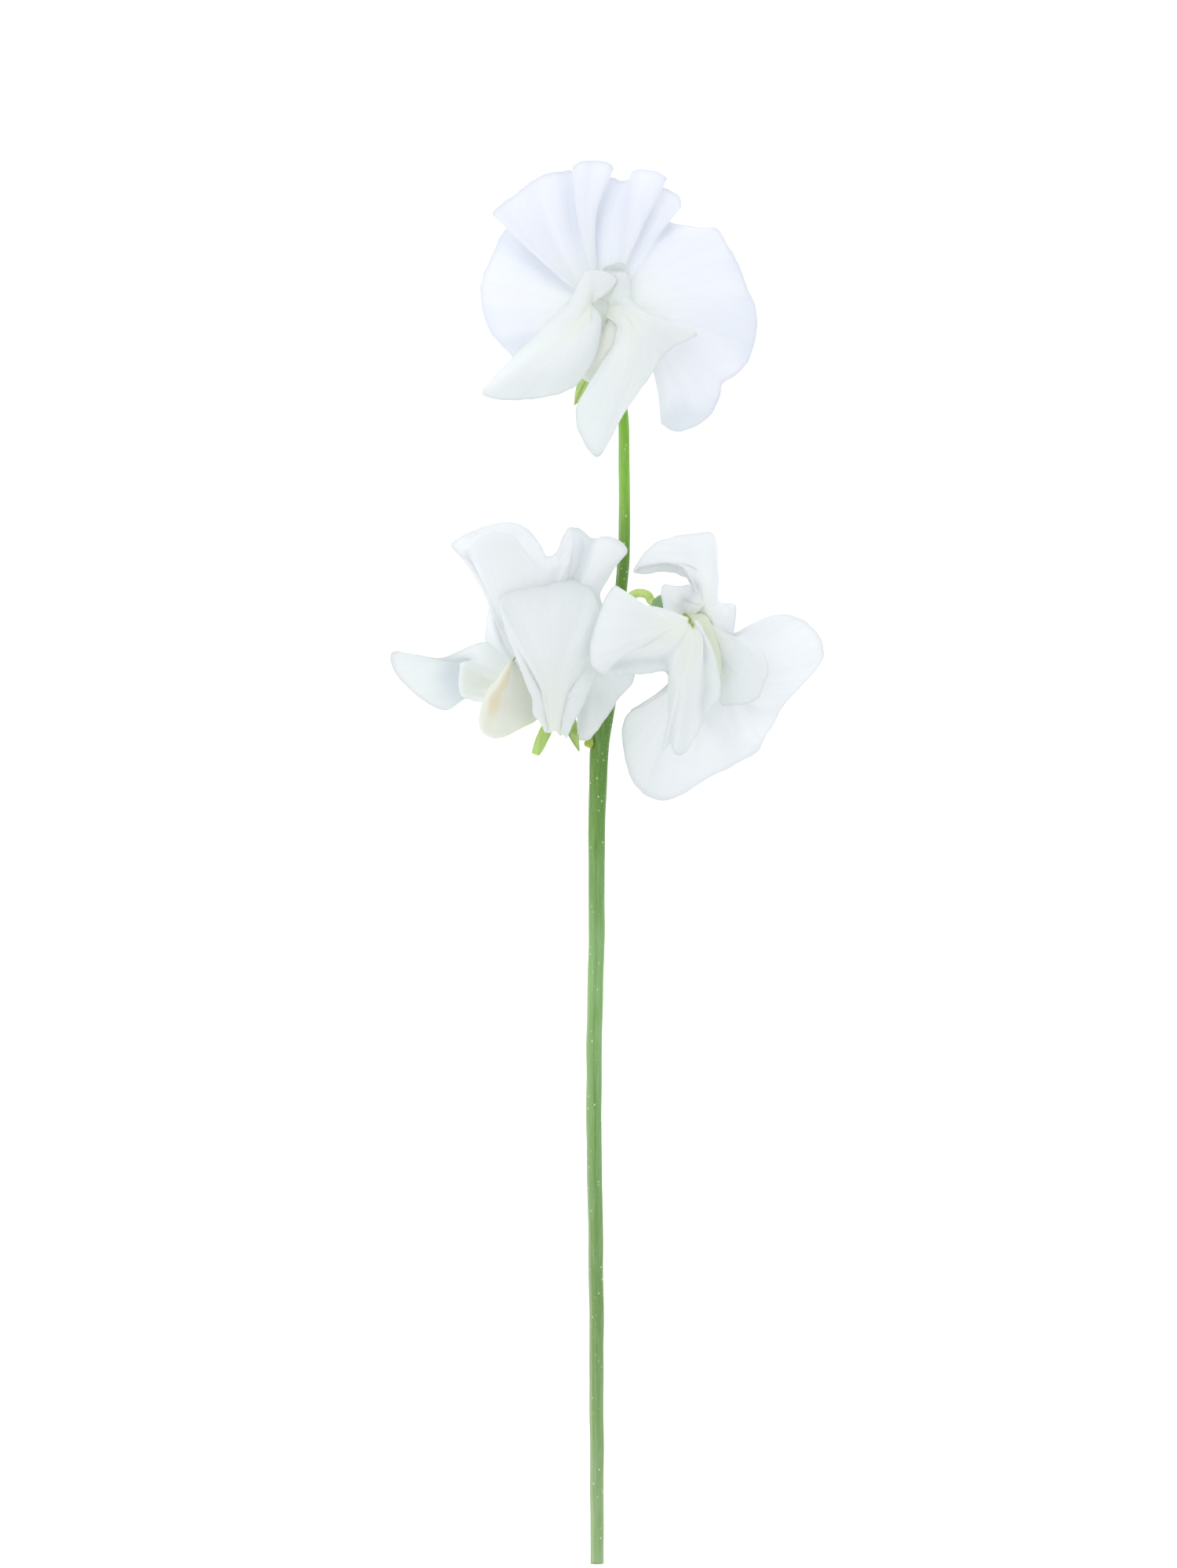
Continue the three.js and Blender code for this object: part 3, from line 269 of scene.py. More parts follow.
def petal_grid(flower, claw, ribs, rows=54, per=6, claw_rows=16):
    """The petal's middle surface, and for each point its place across (mm), its place along (0 at the
    claw's end, 1 at the margin) and the way left to the margin (mm)."""
    place = axes(flower)[0]
    routes = [arched(rib) for rib in ribs]
    longest = max(len(route) for route in routes)
    lines = []
    for k, route in enumerate(routes):
        t = 1 - 2 * k / (len(ribs) - 1)
        foot = [place(h, a + t * da, s + t * ds) for h, a, s, da, ds in claw]
        if len(route) < longest:
            route = even([foot[-1], *route], longest + 1)[1:]
        stations = np.r_[np.linspace(0, len(foot) - 1, claw_rows, endpoint=False),
                         len(foot) - 1 + np.linspace(0, longest, rows)]
        lines.append(spline([*foot, *route], stations))
    grid = across(lines, per)
    along = np.linalg.norm(np.diff(grid, axis=0), axis=2)
    run = np.vstack([np.zeros(grid.shape[1]), np.cumsum(along, axis=0)])
    start = run[claw_rows]
    v = (run - start) / np.maximum(run[-1] - start, 1e-6)
    wide = np.linalg.norm(np.diff(grid[-rows // 3], axis=0), axis=1)
    u = np.broadcast_to(np.r_[0, np.cumsum(wide)], v.shape)
    return grid, u, v, run[-1] - run


def petal(name, flower, claw, ribs, material, ruffle, seed, lengths=(9, 5.5, 3.6), soften=10, fold_shade_strength=0.3,
          **density):
    """A standard or a wing: ruffled by a height at its margin, with shade painted into its creases by their
    depth.
    """
    grid, u, v, left = petal_grid(flower, claw, ribs, **density)
    grid = relax(grid, soften, 0.06 + 0.6 * ease(v, 0.45, 0.0))

    # ripples that grow towards the margin, and a margin that is a little uneven
    edge = np.clip(v, 0, 1)
    swing = wavy(u + 1.5 * edge, lengths, seed)
    swell = wavy(u, (13, 8), seed + 50)
    lift = ruffle * swing * edge**4 + 0.25 * ruffle * swell * ease(v, 0.1, 0.8)
    grid = grid + normals(grid) * lift[..., None]
    jag = UNEVEN_MARGIN * wavy(u[0], (4.1, 2.3, 1.5), seed + 90)[None, :, None] * (edge**10)[..., None]
    grid = grid + unit(grid[-1] - grid[-3])[None] * jag
    grid[..., 2] = np.maximum(grid[..., 2], LOWEST_PETAL)

    thin = PETAL * (0.65 + 0.35 * ease(left, 0.0, 1.2)) * (1 + 0.5 * ease(v, 0.25, -0.2))
    # painted shade: how much darker the sheet is coloured where it lies in a crease
    deep = sunken(grid) * ease(v, 0, 0.15) * (1 - 0.6 * ease(v, 0.6, 1)) * fold_shade_strength
    points, faces, values = sheet(grid, thin, np.stack([u, v, deep], -1))
    return organ(name, flower, (points, faces, values[:, :2]), material, values[:, 2])


def sunken(grid):
    """How deep each point lies in a crease, 0 to 1: its height against the mean around it, at two widths.
    Petals paint shade by it.
    """
    z = grid[..., 2]
    total = np.zeros(z.shape)
    for share in (0.7, 0.3):
        mean = z.copy()
        for _ in range(int(240 * share)):
            wide = np.pad(mean, 1, mode="edge")
            mean = (wide[:-2, 1:-1] + wide[2:, 1:-1] + 3 * wide[1:-1, :-2] + 3 * wide[1:-1, 2:]) / 8
        total += np.clip((mean - z) / (FULL_SHADE_DEPTH * share), 0, 1)
    return np.clip(total, 0, 1)


# ---- shapes ----

# teeth: place round the cup (degrees), length, and if need be bend, half width (degrees), taper, bluntness
TOP = dict(origin=(0.75, 200.25), throat=(-0.25, -6.75, 13), ahead=(-0.02, 0.1, 0.99), up=(0.08, 1, 0),
           teeth=[[-20, 10.7, 1.9, 34, 1.7], [50, 3.5], [130, 3.5], [190, 3.5], [265, 3.5]])
LEFT = dict(origin=(-7.75, 134), throat=(0.25, 4, 13), ahead=(-0.45, -0.15, 0.88), up=(0.2, 0.97, 0.1),
            teeth=[[-4, 9.5, 1.9, 13, 1.6, 0.6], [46, 10.4, 1.9, 17, 1.6], [110, 3.5], [180, 3.5],
                   [250, 3.5]])
RIGHT = dict(origin=(15, 149.9), throat=(-0.2, 0.2, 19), ahead=(0.6, -0.33, 0.73), up=(0.65, 0.55, -0.3),
             teeth=[[0, 2, 1.1], [72, 3, 0.7], [144, 1.6, 0.3], [216, 0.8, 0.3], [288, 3, 1.1]])

TOP_KEEL = dict(
    bottom=[[0.2, -8.6, 13.2], [-1.2, -11, 14.8], [-2.2, -12.2, 16.6], [-0.8, -10.8, 18], [1.6, -7.8, 18.6],
            [3.4, -5.8, 18.5], [4.6, -4.6, 18.3]],
    brim=[[0.5, -5, 15], [1.2, -2.4, 16.2], [2.2, -1.4, 17], [3.4, -2.4, 17.6], [4.4, -3.9, 18]],
    half=1.9)
LEFT_KEEL = dict(
    bottom=[[-1.2, 1.4, 13.2], [-4.5, -0.8, 14.6], [-9, -2.4, 16.2], [-11, -0.8, 17.6], [-10.6, 2.6, 18.6],
            [-9.8, 4.8, 19], [-8.4, 6.2, 19.3], [-7.2, 8.2, 19.6], [-5.9, 10, 19.8]],
    brim=[[-1.6, 4.8, 14.8], [-3, 5.2, 16.2], [-3.8, 6.5, 17.6], [-4.6, 8.2, 18.6], [-5.5, 9.7, 19.3]],
    tip=[[-5.2, 10.7, 20]], half=1.7)
RIGHT_KEEL = dict(
    bottom=[[-0.6, -1.6, 20.8], [-0.5, -4.5, 21.4], [0.2, -8, 21], [0.9, -10.6, 20], [1.5, -12, 18.8]],
    brim=[[2.2, 0.8, 19.4], [3.6, -2.4, 19.6], [4.4, -6, 19.2], [4, -9.4, 18.6], [2.4, -11.8, 18.4]],
    half=1.4)

STEM_ROUTE = [  # from the cut end up
    [-0.1, -0.6, 1.25], [-0.2, 18, 2.2], [-0.2, 37, 3.5], [-0.5, 62, 5.1], [-0.6, 80, 6.2], [-0.2, 102, 7.2],
    [-0.1, 122, 8], [0.3, 130.5, 8.3], [1.1, 135, 8.5], [2.2, 141, 8.6], [3.2, 150.5, 8.6],
    [3.8, 157.4, 8.2], [4.2, 164, 7.8], [4.2, 174, 6.8], [4.1, 181.8, 6], [3.5, 186.8, 5.2]]
STEM_RADIUS = [  # share of the way up, and the radius there
    [0, 1], [0.3, 1.15], [0.6, 1.25], [0.69, 1.4], [0.73, 1.25], [0.8, 0.95], [0.9, 0.88], [1, 0.8]]

# a petal's ribs, side by side: points outwards from the claw, or middle, margin and the lift halfway
TOP_STANDARD = [
    [[6.2, -5, 13], [8.4, -11.5, 11], [9.4, -18.3, 1.8]],
    [[6.8, -5, 13.2], [9.4, -12, 11.2], [11.6, -19.4, 0.6]],
    [[7.6, -5, 13.2], [10.6, -11, 11], [14.2, -18.9, 1.6]],
    [[8.2, -4.8, 13.2], [11.8, -9.8, 11.2], [17, -17.2, 3.8]],
    [[8.8, -4.2, 13.2], [12.6, -7.9, 11], [18.7, -14, 5.5]], [[13.4, -6.6, 11.4], [19.2, -11.8, 7]],
    [[14, -5.4, 11.8], [21.4, -10.4, 6.8]], [[14.6, -3.8, 12], [23.6, -7.9, 5.6]],
    [[14.6, -1, 12.2], [24.8, -3, 5.4]], [[14.4, 1, 12.4], [24.2, 0.8, 5.4]],
    [[14.2, 2.8, 12.4], [22.9, 3.6, 6.4]], [[13.4, 5, 12.2], [21.8, 6.9, 7]],
    [[12.1, 7.1, 12.2], [20, 10, 8.5]], [[11.2, 8.4, 12.2], [18.3, 12.7, 9.4]],
    [[10, 9, 12.2], [15.8, 12.9, 9.4]], [[8.8, 9.2, 11.8], [13.2, 13.4, 8.4]],
    [[7.9, 9.2, 11.2], [11, 13.8, 7.4]], [[7.6, 9.7, 11.4], [11, 14.6, 8.4]],
    [[7.5, 10.2, 11.6], [12.4, 16, 10]], [[7.2, 10.8, 11.8], [12.3, 17.6, 11]],
    [[6.8, 11.2, 12], [11, 18.6, 11.6]], [[6, 11.8, 12.1], [9.6, 19.2, 11.8]],
    [[5.7, 12.2, 13.2], [9.5, 20, 13.6]], [[6.1, 12.6, 14.5], [10.2, 20.4, 15.6]],
    [[5.4, 12.8, 14.6], [9.1, 21.2, 15.4]], [[4.6, 12.8, 14], [7.4, 21.8, 14]],
    [[3.8, 12.6, 13.2], [5.2, 21.9, 12.4]], [[3.2, 12.3, 12.7], [4.5, 21.2, 11.4]],
    [[2.5, 12.1, 12.3], [4.1, 20.4, 10.8]], [[1.4, 12, 12.1], [3, 20.3, 10.4]],
    [[0.2, 12.2, 12], [1.7, 20.8, 10.4]], [[-1.4, 12.5, 11.9], [0.8, 21, 10.8]],
    [[-1.5, 12.8, 12.8], [0.9, 21.5, 12.4]], [[-1.3, 13, 13.7], [1.6, 22.1, 14]],
    [[-1.7, 13, 14], [1, 22.9, 14.6]], [[-2.3, 12.9, 14.1], [-1.2, 23.3, 14.4]],
    [[-3, 12.8, 14], [-3, 23.2, 14.8]], [[-3.7, 12.7, 13.6], [-4.7, 22.4, 14.2]],
    [[-3.5, 12.5, 12.7], [-4.1, 22, 12.6]], [[-3.4, 12.3, 12], [-4, 21.8, 11]],
    [[-4.6, 11.9, 11.8], [-5.6, 21.9, 10.6]], [[-5.8, 11.6, 12.1], [-7.2, 21.7, 11.3]],
    [[-6.8, 11.2, 12.5], [-9.2, 21.2, 11.8]], [[-7.8, 10.8, 12.7], [-11.2, 20.2, 11.8]],
    [[-8.6, 10.2, 13.2], [-13, 18.8, 12.4]], [[-9.3, 9.6, 13.8], [-14.6, 17.4, 13.2]],
    [[-10, 9, 14.3], [-16.2, 16.4, 13.6]], [[-10.7, 8.3, 14.6], [-17.6, 14.8, 13.8]],
    [[-10.2, 8, 12.8], [-16.6, 14.5, 10.8]], [[-9.4, 7.8, 11], [-15, 14, 7.8]],
    [[-9.6, 6.8, 10.4], [-15.6, 12.6, 7]], [[-10, 5.6, 10.8], [-16.8, 10.8, 6.6]],
    [[-10.5, 4.2, 11.8], [-17.8, 8.2, 7]], [[-10.8, 2.4, 11.8], [-19, 5.2, 6.4]],
    [[-10.8, 0.6, 11.8], [-19.4, 2.2, 6]], [[-10.5, -1, 11.8], [-19.1, -0.8, 5]],
    [[-9.8, -2.6, 12], [-17.9, -3.7, 4.6]], [[-8.8, -3.6, 12.4], [-15.8, -6.1, 3.8]],
    [[-7.6, -4.4, 12.8], [-12.8, -8.8, 4.4]], [[-6.4, -4.6, 13.2], [-7.9, -10.2, 8.5]],
]

TOP_LEFT_WING = [
    [[-1.3, 0.4, 18.8], [-1, 0.8, 18.9], [-0.7, 1.1, 18.8]],
    [[-0.9, 1.2, 18.8], [-0.1, 1.7, 19.1], [0.8, 2.1, 18.8]],
    [[-0.7, 1.8, 18.9], [0.6, 2.9, 19.1], [2.2, 4.1, 18.6]],
    [[-0.9, 2.4, 18.9], [0, 4, 19], [1, 5.2, 18.4]], [[-1.2, 2.6, 18.9], [-0.9, 5.7, 18.4], 0.3],
    [[-1.8, 2.4, 19.1], [-2.4, 5.6, 18], 0.4], [[-2.4, 1.5, 19.4], [-3.5, 4.2, 17.4], 0.6],
    [[-3.2, -0.2, 20], [-5.1, 1.1, 16.6], 1], [[-4, -1.6, 20.5], [-8.5, -2.1, 16], 1.8],
    [[-4.6, -2.8, 20.9], [-12.1, -6, 15.4], 2.4], [[-5.4, -4, 21.5], [-16.7, -10.5, 15.4], 3],
    [[-5.7, -4.8, 21.9], [-19.2, -13.5, 16], 3.2], [[-5.6, -5.4, 22.3], [-17, -14.7, 17], 3],
    [[-5, -5.8, 22.5], [-12, -14.9, 19], 2.4], [[-4.1, -5.8, 22.5], [-7.6, -14.2, 20.8], 1.8],
    [[-3.4, -5.2, 22.1], [-4.6, -12.9, 20.4], 1.6], [[-2.7, -4.4, 21.7], [-2.6, -10.6, 20.6], 1.2],
    [[-2.1, -3.4, 21], [-1.2, -8, 20.3], 0.9], [[-1.7, -2.4, 20.2], [-0.4, -5.2, 19.8], 0.5],
    [[-1.5, -1.2, 20], [-0.3, -2.8, 19.6], 0.2], [[-1.3, -0.4, 19.2], [-0.7, -1, 19.2], 0],
]

TOP_RIGHT_WING = [
    [[-0.3, 1.2, 17.1], [-0.4, 3.2, 17.1], [-0.3, 4.8, 17.1], [-0.1, 5.5, 16.7], [0, 6, 17]],
    [[0.6, 1.5, 17.3], [0.9, 3.4, 17.5], [1.3, 5.1, 17.5], [1.5, 5.8, 16.2], [1.6, 6.7, 17.6]],
    [[1.1, 1.5, 17.5], [1.6, 3.4, 17.4], [2.2, 5.1, 17.6], [2.3, 5.8, 16], [2.5, 6.9, 17.7]],
    [[1.5, 1.5, 17.7], [2.3, 3.4, 18], [2.9, 5.1, 18], [3.1, 5.8, 16.1], [3.3, 6.8, 17.5]],
    [[2, 1.2, 17.7], [3, 2.9, 17.6], [3.7, 4.6, 17.1], [4, 5.1, 16.3], [4.2, 5.6, 16.6]],
    [[2.4, 1, 17.6], [3.4, 1.9, 17.2], [4.3, 2.8, 15.8]],
    [[2.6, 0.8, 17.6], [3.6, 1.2, 17.4], [4.3, 1.2, 16.6]],
    [[4.2, 0.3, 18], [5.2, 0.1, 17.9], [5.9, -0.1, 17]],
    [[4.6, -0.1, 18.4], [6.4, -0.9, 18.6], [8.4, -1.8, 17.2]],
    [[4.8, -0.5, 18.8], [7.6, -1.6, 19.2], [11.6, -2.9, 17.2]],
    [[5, -0.9, 19.2], [8.4, -2.4, 19.8], [14.6, -4, 17.2]],
    [[5.1, -1.2, 19.5], [8.4, -3.2, 20], [14.7, -4.9, 17.6]],
    [[5.1, -1.5, 19.8], [8, -4, 20.2], [11.6, -6.3, 18.2]],
    [[5.1, -1.8, 20], [7.4, -5.2, 20.6], [9.4, -8.1, 18.2]],
    [[5, -2.1, 20.2], [6.8, -6.6, 21.2], [7.6, -11, 18.2]],
    [[4.9, -2.4, 20.4], [6.2, -8, 21.8], [5.4, -14, 18.4]],
    [[4.8, -2.7, 20.6], [5.4, -9.2, 22.2], [3.2, -17.4, 18.6]],
    [[4.6, -2.8, 20.8], [4.6, -10.2, 22.6], [1.4, -20.8, 18.6]],
    [[4.4, -2.95, 20.9], [3.6, -11, 22.7], [-0.6, -23.9, 18.2]],
    [[4.2, -3.1, 21], [2.4, -11, 22.5], [-2.4, -22.6, 18.4]],
    [[3.9, -3.2, 20.9], [1.4, -10.6, 22.3], [-4, -19.2, 19]],
    [[3.6, -3.3, 20.8], [1, -9.6, 22.1], [-4.2, -16, 19.8]],
    [[3.3, -3.4, 20.6], [1.2, -8.4, 21.8], [-2.6, -13.2, 20.4]],
    [[3, -3.45, 20.3], [1.8, -7, 21.2], [-0.6, -10, 20.8]],
    [[2.7, -3.5, 19.9], [2.2, -5.5, 20.4], [1.2, -7.5, 20.2]],
    [[2.4, -3.4, 19.5], [2.2, -4.6, 19.6], [2, -5.8, 19.2]],
]

LEFT_STANDARD = [
    [[4.4, 5, 15], [4.6, 1.8, 15.4], [4.5, -1, 15.6]], [[4.8, 5.4, 14.6], [5, 2, 14.4], [4.8, -2.6, 13.4]],
    [[5.6, 5.4, 14.9], [6, 2.4, 14.6], [6.4, -2.4, 13.2]], [[6.6, 6.4, 15.3], [9, 0.8, 12.5]],
    [[7.2, 7.4, 15.8], [11.2, 4, 13]], [[7.2, 9.2, 16.2], [13.5, 7.2, 14]],
    [[6.8, 12.1, 16.4], [12.5, 10.9, 15]], [[6, 15.2, 16.6], [10, 15.9, 16]],
    [[5.2, 17.1, 16.6], [8.1, 20.5, 16]], [[4.8, 17.8, 16.6], [9, 22.5, 17.5], [10.8, 25.2, 17]],
    [[4.2, 18.1, 17], [8.4, 24, 19], [12.5, 27.4, 17.8]],
    [[3.6, 18.3, 17.2], [7.4, 24.8, 19.4], [10.4, 29.3, 18.8]],
    [[3, 18.5, 17], [6.6, 25, 19.2], [8.4, 29.6, 18.2]],
    [[2.5, 18.7, 16.6], [5.6, 25.1, 16.8], [7, 29.4, 15]],
    [[2, 18.8, 16.4], [4.7, 25.2, 16.4], [6, 30, 12.8]],
    [[1.6, 18.8, 16.6], [4, 25.3, 18], [4.5, 31, 13.6]],
    [[1.2, 18.8, 16.9], [3.3, 25.4, 19.6], [3.6, 28, 18.4], [3.4, 31.2, 15.6]],
    [[0.7, 18.8, 17], [2.7, 25.4, 20], [2.9, 27, 18], [2.8, 30.9, 15.4]],
    [[0.2, 18.8, 17.2], [2, 25.9, 19.8], [2, 26, 16], [2.2, 29.4, 13]],
    [[-0.4, 18.8, 17.4], [0.8, 24.9, 20], [0.9, 24.6, 15.5], [1.2, 27.4, 12]],
    [[-1, 18.8, 17.6], [-0.6, 24.4, 20.2], [-0.5, 24, 15], [-0.4, 26.6, 11]],
    [[-2, 18.8, 18], [-2.2, 25.3, 20.6], [-2, 24.4, 14.5], [-1.4, 28.4, 9.5]],
    [[-3.2, 18.5, 18.2], [-4, 27.4, 21], [-3.6, 26.2, 14], [-3.4, 31, 6]],
    [[-4.5, 18.2, 18.2], [-5.8, 29.5, 21.4], [-5.6, 28, 13], [-5.8, 32, 2]],
    [[-5.8, 18, 18], [-8, 30.3, 21.4], [-7.8, 28.6, 12], [-8.8, 32.2, 0.8]],
    [[-6.8, 17.8, 17.6], [-10, 29.8, 21], [-10.2, 28.2, 13], [-11.6, 31, 3.5]],
    [[-7.5, 17.2, 17], [-12, 27.7, 19.4], [-13, 27.4, 15], [-14, 29.8, 10]],
    [[-8, 16.5, 16.4], [-12.9, 26.6, 17], [-15.6, 28.3, 15.2]],
    [[-8, 15.5, 16], [-11.8, 24, 15.5], [-13.5, 26.2, 15.5]],
    [[-8, 14.5, 15.8], [-9.8, 20.2, 15.5], [-11, 23, 15.5]],
    [[-7.5, 13, 15.6], [-8.8, 16.5, 15.8], [-9.5, 19.8, 15]],
    [[-6.5, 11.2, 15.2], [-8.4, 13.8, 16.4], [-10, 16.2, 14.4]],
    [[-5.2, 9, 15.2], [-8, 11.5, 15.4], [-10.2, 13.4, 13.5]],
]

LEFT_NEAR_WING = [
    [[2, -1.6, 18.8], [2.8, -2.4, 18.4], 0.1], [[2.2, -0.2, 20], [3.6, -0.4, 19], 0.6],
    [[2.6, 1.6, 21.6], [4.8, 1.6, 19.6], 1], [[3.2, 4, 23], [6.4, 5.1, 20.4], 1.6],
    [[3.5, 5.2, 24], [7.5, 7.8, 21], 2],
    [[3.4, 6.8, 25], [6, 10.4, 25.4], [7.9, 12.8, 22.4], [8.2, 13, 21]],
    [[2.8, 8, 25.8], [5.6, 13.6, 26], [7.7, 17.8, 22.4], [8, 18.2, 20]],
    [[2, 8.8, 26], [3.9, 15, 24.6], [5.5, 19.4, 21.2], [6.1, 22, 18.4]],
    [[0.8, 9, 26.2], [1, 15.2, 24.8], [1.2, 19.6, 21.4], [1.4, 22.8, 18.4]],
    [[-0.4, 8.8, 26], [-2.4, 15, 24.4], [-4.3, 19.4, 21], [-4.9, 22.2, 18.2]],
    [[-1.2, 8.2, 25.6], [-4.6, 14.4, 23.8], [-7, 18.8, 20.2], [-7.7, 20.8, 17.8]],
    [[-1.7, 7, 25.2], [-4.6, 12, 24.6], [-7, 16.4, 21.8], [-7.5, 16.6, 20]],
    [[-1.8, 5.8, 24.4], [-5.8, 11.8, 22.4], 1.2], [[-1.6, 4.8, 23.6], [-4.9, 9.6, 22.8], 0.8],
    [[-1.2, 3.6, 22.6], [-3.6, 6, 22.2], 0.6], [[-0.8, 2.6, 21.6], [-2.6, 3.8, 21.4], 0.4],
    [[-0.6, 1.6, 20.8], [-2.6, 1.6, 20.2], 0.3], [[-0.4, 0.2, 20], [-1.4, 0, 19.2], 0.3],
    [[0, -1, 18.8], [-0.6, -1.5, 18.6], 0.1],
]

LEFT_FAR_WING = [
    [[-4.6, 6.4, 13], [-5.2, 8, 12.8], [-5.8, 9.5, 12.5], [-6.2, 10.6, 12.2]],
    [[-5.4, 6.2, 12.8], [-6.6, 8.6, 12.8], [-7.8, 11, 12.4], [-9, 12.8, 12]],
    [[-6, 6, 12.6], [-8.6, 8.2, 13], [-11.2, 10.5, 13], [-12.1, 12.5, 12]],
    [[-6.4, 5.6, 12.4], [-9.6, 7.6, 13], [-13.6, 9.4, 13.4], [-13.4, 10, 8.6], [-17.5, 10.4, 9]],
    [[-6.6, 5.2, 12.2], [-10, 7, 12.6], [-14, 8.4, 13.8], [-13.2, 9, 8], [-22.5, 11.2, 10.5]],
    [[-6.6, 4.8, 12], [-10.2, 6.2, 12.8], [-14.2, 7.2, 13.6], [-13.2, 7.8, 7.6], [-25.2, 11.2, 11.5]],
    [[-6.6, 4.4, 11.8], [-10.2, 5.4, 12.6], [-14.2, 6, 13.8], [-13.2, 6.5, 7], [-24.2, 7.5, 9.5]],
    [[-6.4, 4, 11.6], [-10, 4.8, 11.6], [-14, 4.8, 12.8], [-13.2, 5.2, 6.6], [-20, 3.6, 7]],
    [[-6.2, 3.6, 11.4], [-9.4, 4.2, 11], [-13.4, 4.2, 11], [-13, 4.5, 6.6], [-16.5, 2.1, 6]],
    [[-5.8, 3.2, 11.4], [-8.4, 3.6, 10.4], [-10.8, 4, 9.4], [-12.6, 4.2, 8], [-13.8, 4, 7.4]],
    [[-5.2, 2.8, 11.6], [-7, 3, 10.8], [-8.6, 3.2, 10], [-10.2, 3.4, 9], [-11.8, 3.4, 8.2]],
]

RIGHT_STANDARD = [
    [[-0.8, 0.6, 19.2], [-2.2, 0, 20.8], [-4, -0.8, 21.8]],
    [[-1.2, 3, 18.8], [-2.8, 4, 20.6], [-4.9, 5.6, 21.2]],
    [[-0.6, 3.4, 17.8], [-1.6, 4.8, 19.6], [-2.2, 5.8, 19.8]], [[0.5, 4.4, 17.6], [-0.4, 6.4, 18.4]],
    [[0.8, 5.6, 17.2], [-1.4, 8.6, 19.8], [-2.2, 7.8, 17.2]],
    [[0.6, 7.2, 17.4], [-4.2, 9.5, 20.4], [-5.2, 8.2, 17.6]],
    [[0.4, 8.6, 17.4], [-8.2, 9, 20.6], [-9.3, 7.8, 19]], [[0.6, 10, 16.8], [-8, 10.6, 19]],
    [[1.2, 10.8, 16], [-6, 12.6, 17.2]], [[1.9, 10.8, 15.2], [-3.2, 13.8, 15.5]],
    [[2.6, 10, 14.4], [0.2, 14.2, 13.5]], [[3.2, 9, 14], [3, 14.4, 12.2]],
    [[3.6, 7.2, 14.2], [4, 11.9, 12.4]], [[3.8, 5, 14.8], [4.2, 7.5, 13]],
    [[3.9, 2.9, 15.8], [4.3, 3.6, 14.5]], [[4.8, 2.1, 17], [6.9, 2.8, 18.2]],
    [[4.8, 0.6, 16.8], [6.8, 0.6, 17.2]], [[5, -0.8, 16], [6.8, -2, 14]],
    [[5.8, -1.8, 14.6], [9.2, -0.4, 10.5]], [[6.8, -2.8, 13.8], [12, 1.1, 8.5]],
    [[7.6, -3.6, 13.2], [15.4, 1.5, 7.5]], [[8.2, -4.8, 13], [18.5, 0, 8]],
    [[8.6, -6.2, 12.6], [20.8, -2.9, 9]], [[8.7, -7.9, 12.2], [20.5, -6.4, 8]],
    [[8.5, -9.6, 11.8], [17.8, -9.6, 6]], [[8.2, -11.2, 11.8], [15.2, -12.4, 4.8]],
    [[7.8, -12, 12.2], [10.8, -14.2, 9.2], [13.4, -15.2, 5.4]],
    [[7.2, -12.6, 12.8], [9.6, -15.6, 10.2], [12.4, -16.9, 5.8]],
    [[6.5, -13, 13], [8, -16.6, 10.4], [11.6, -18.4, 5.4]],
    [[5.6, -13.3, 11.4], [7.4, -17.6, 7.2], [10.6, -20.2, 3.8]],
    [[3.8, -13.6, 10.8], [5.8, -18.8, 6], [7.4, -22.3, 2.8]],
    [[2, -13.8, 10], [2.2, -18.6, 7.4], [2.2, -24.9, 1.4]], [[0.4, -13.6, 10], [-2, -27.5, 0.5]],
    [[-1, -13, 10.4], [-5.2, -28.1, 0.4]], [[-2, -12.2, 10.8], [-8, -27, 0.8]],
    [[-2.6, -11.2, 11.4], [-10, -23.8, 3]], [[-2.8, -10.4, 12], [-11, -19.4, 5]],
    [[-2.8, -9.6, 12.6], [-11, -16.2, 6.5]], [[-2.6, -8.8, 13.4], [-9.9, -14.1, 8]],
    [[-2.2, -7.8, 14.2], [-7.1, -12.8, 10]], [[-1.6, -6.6, 15.2], [-4.1, -10.8, 12]],
]

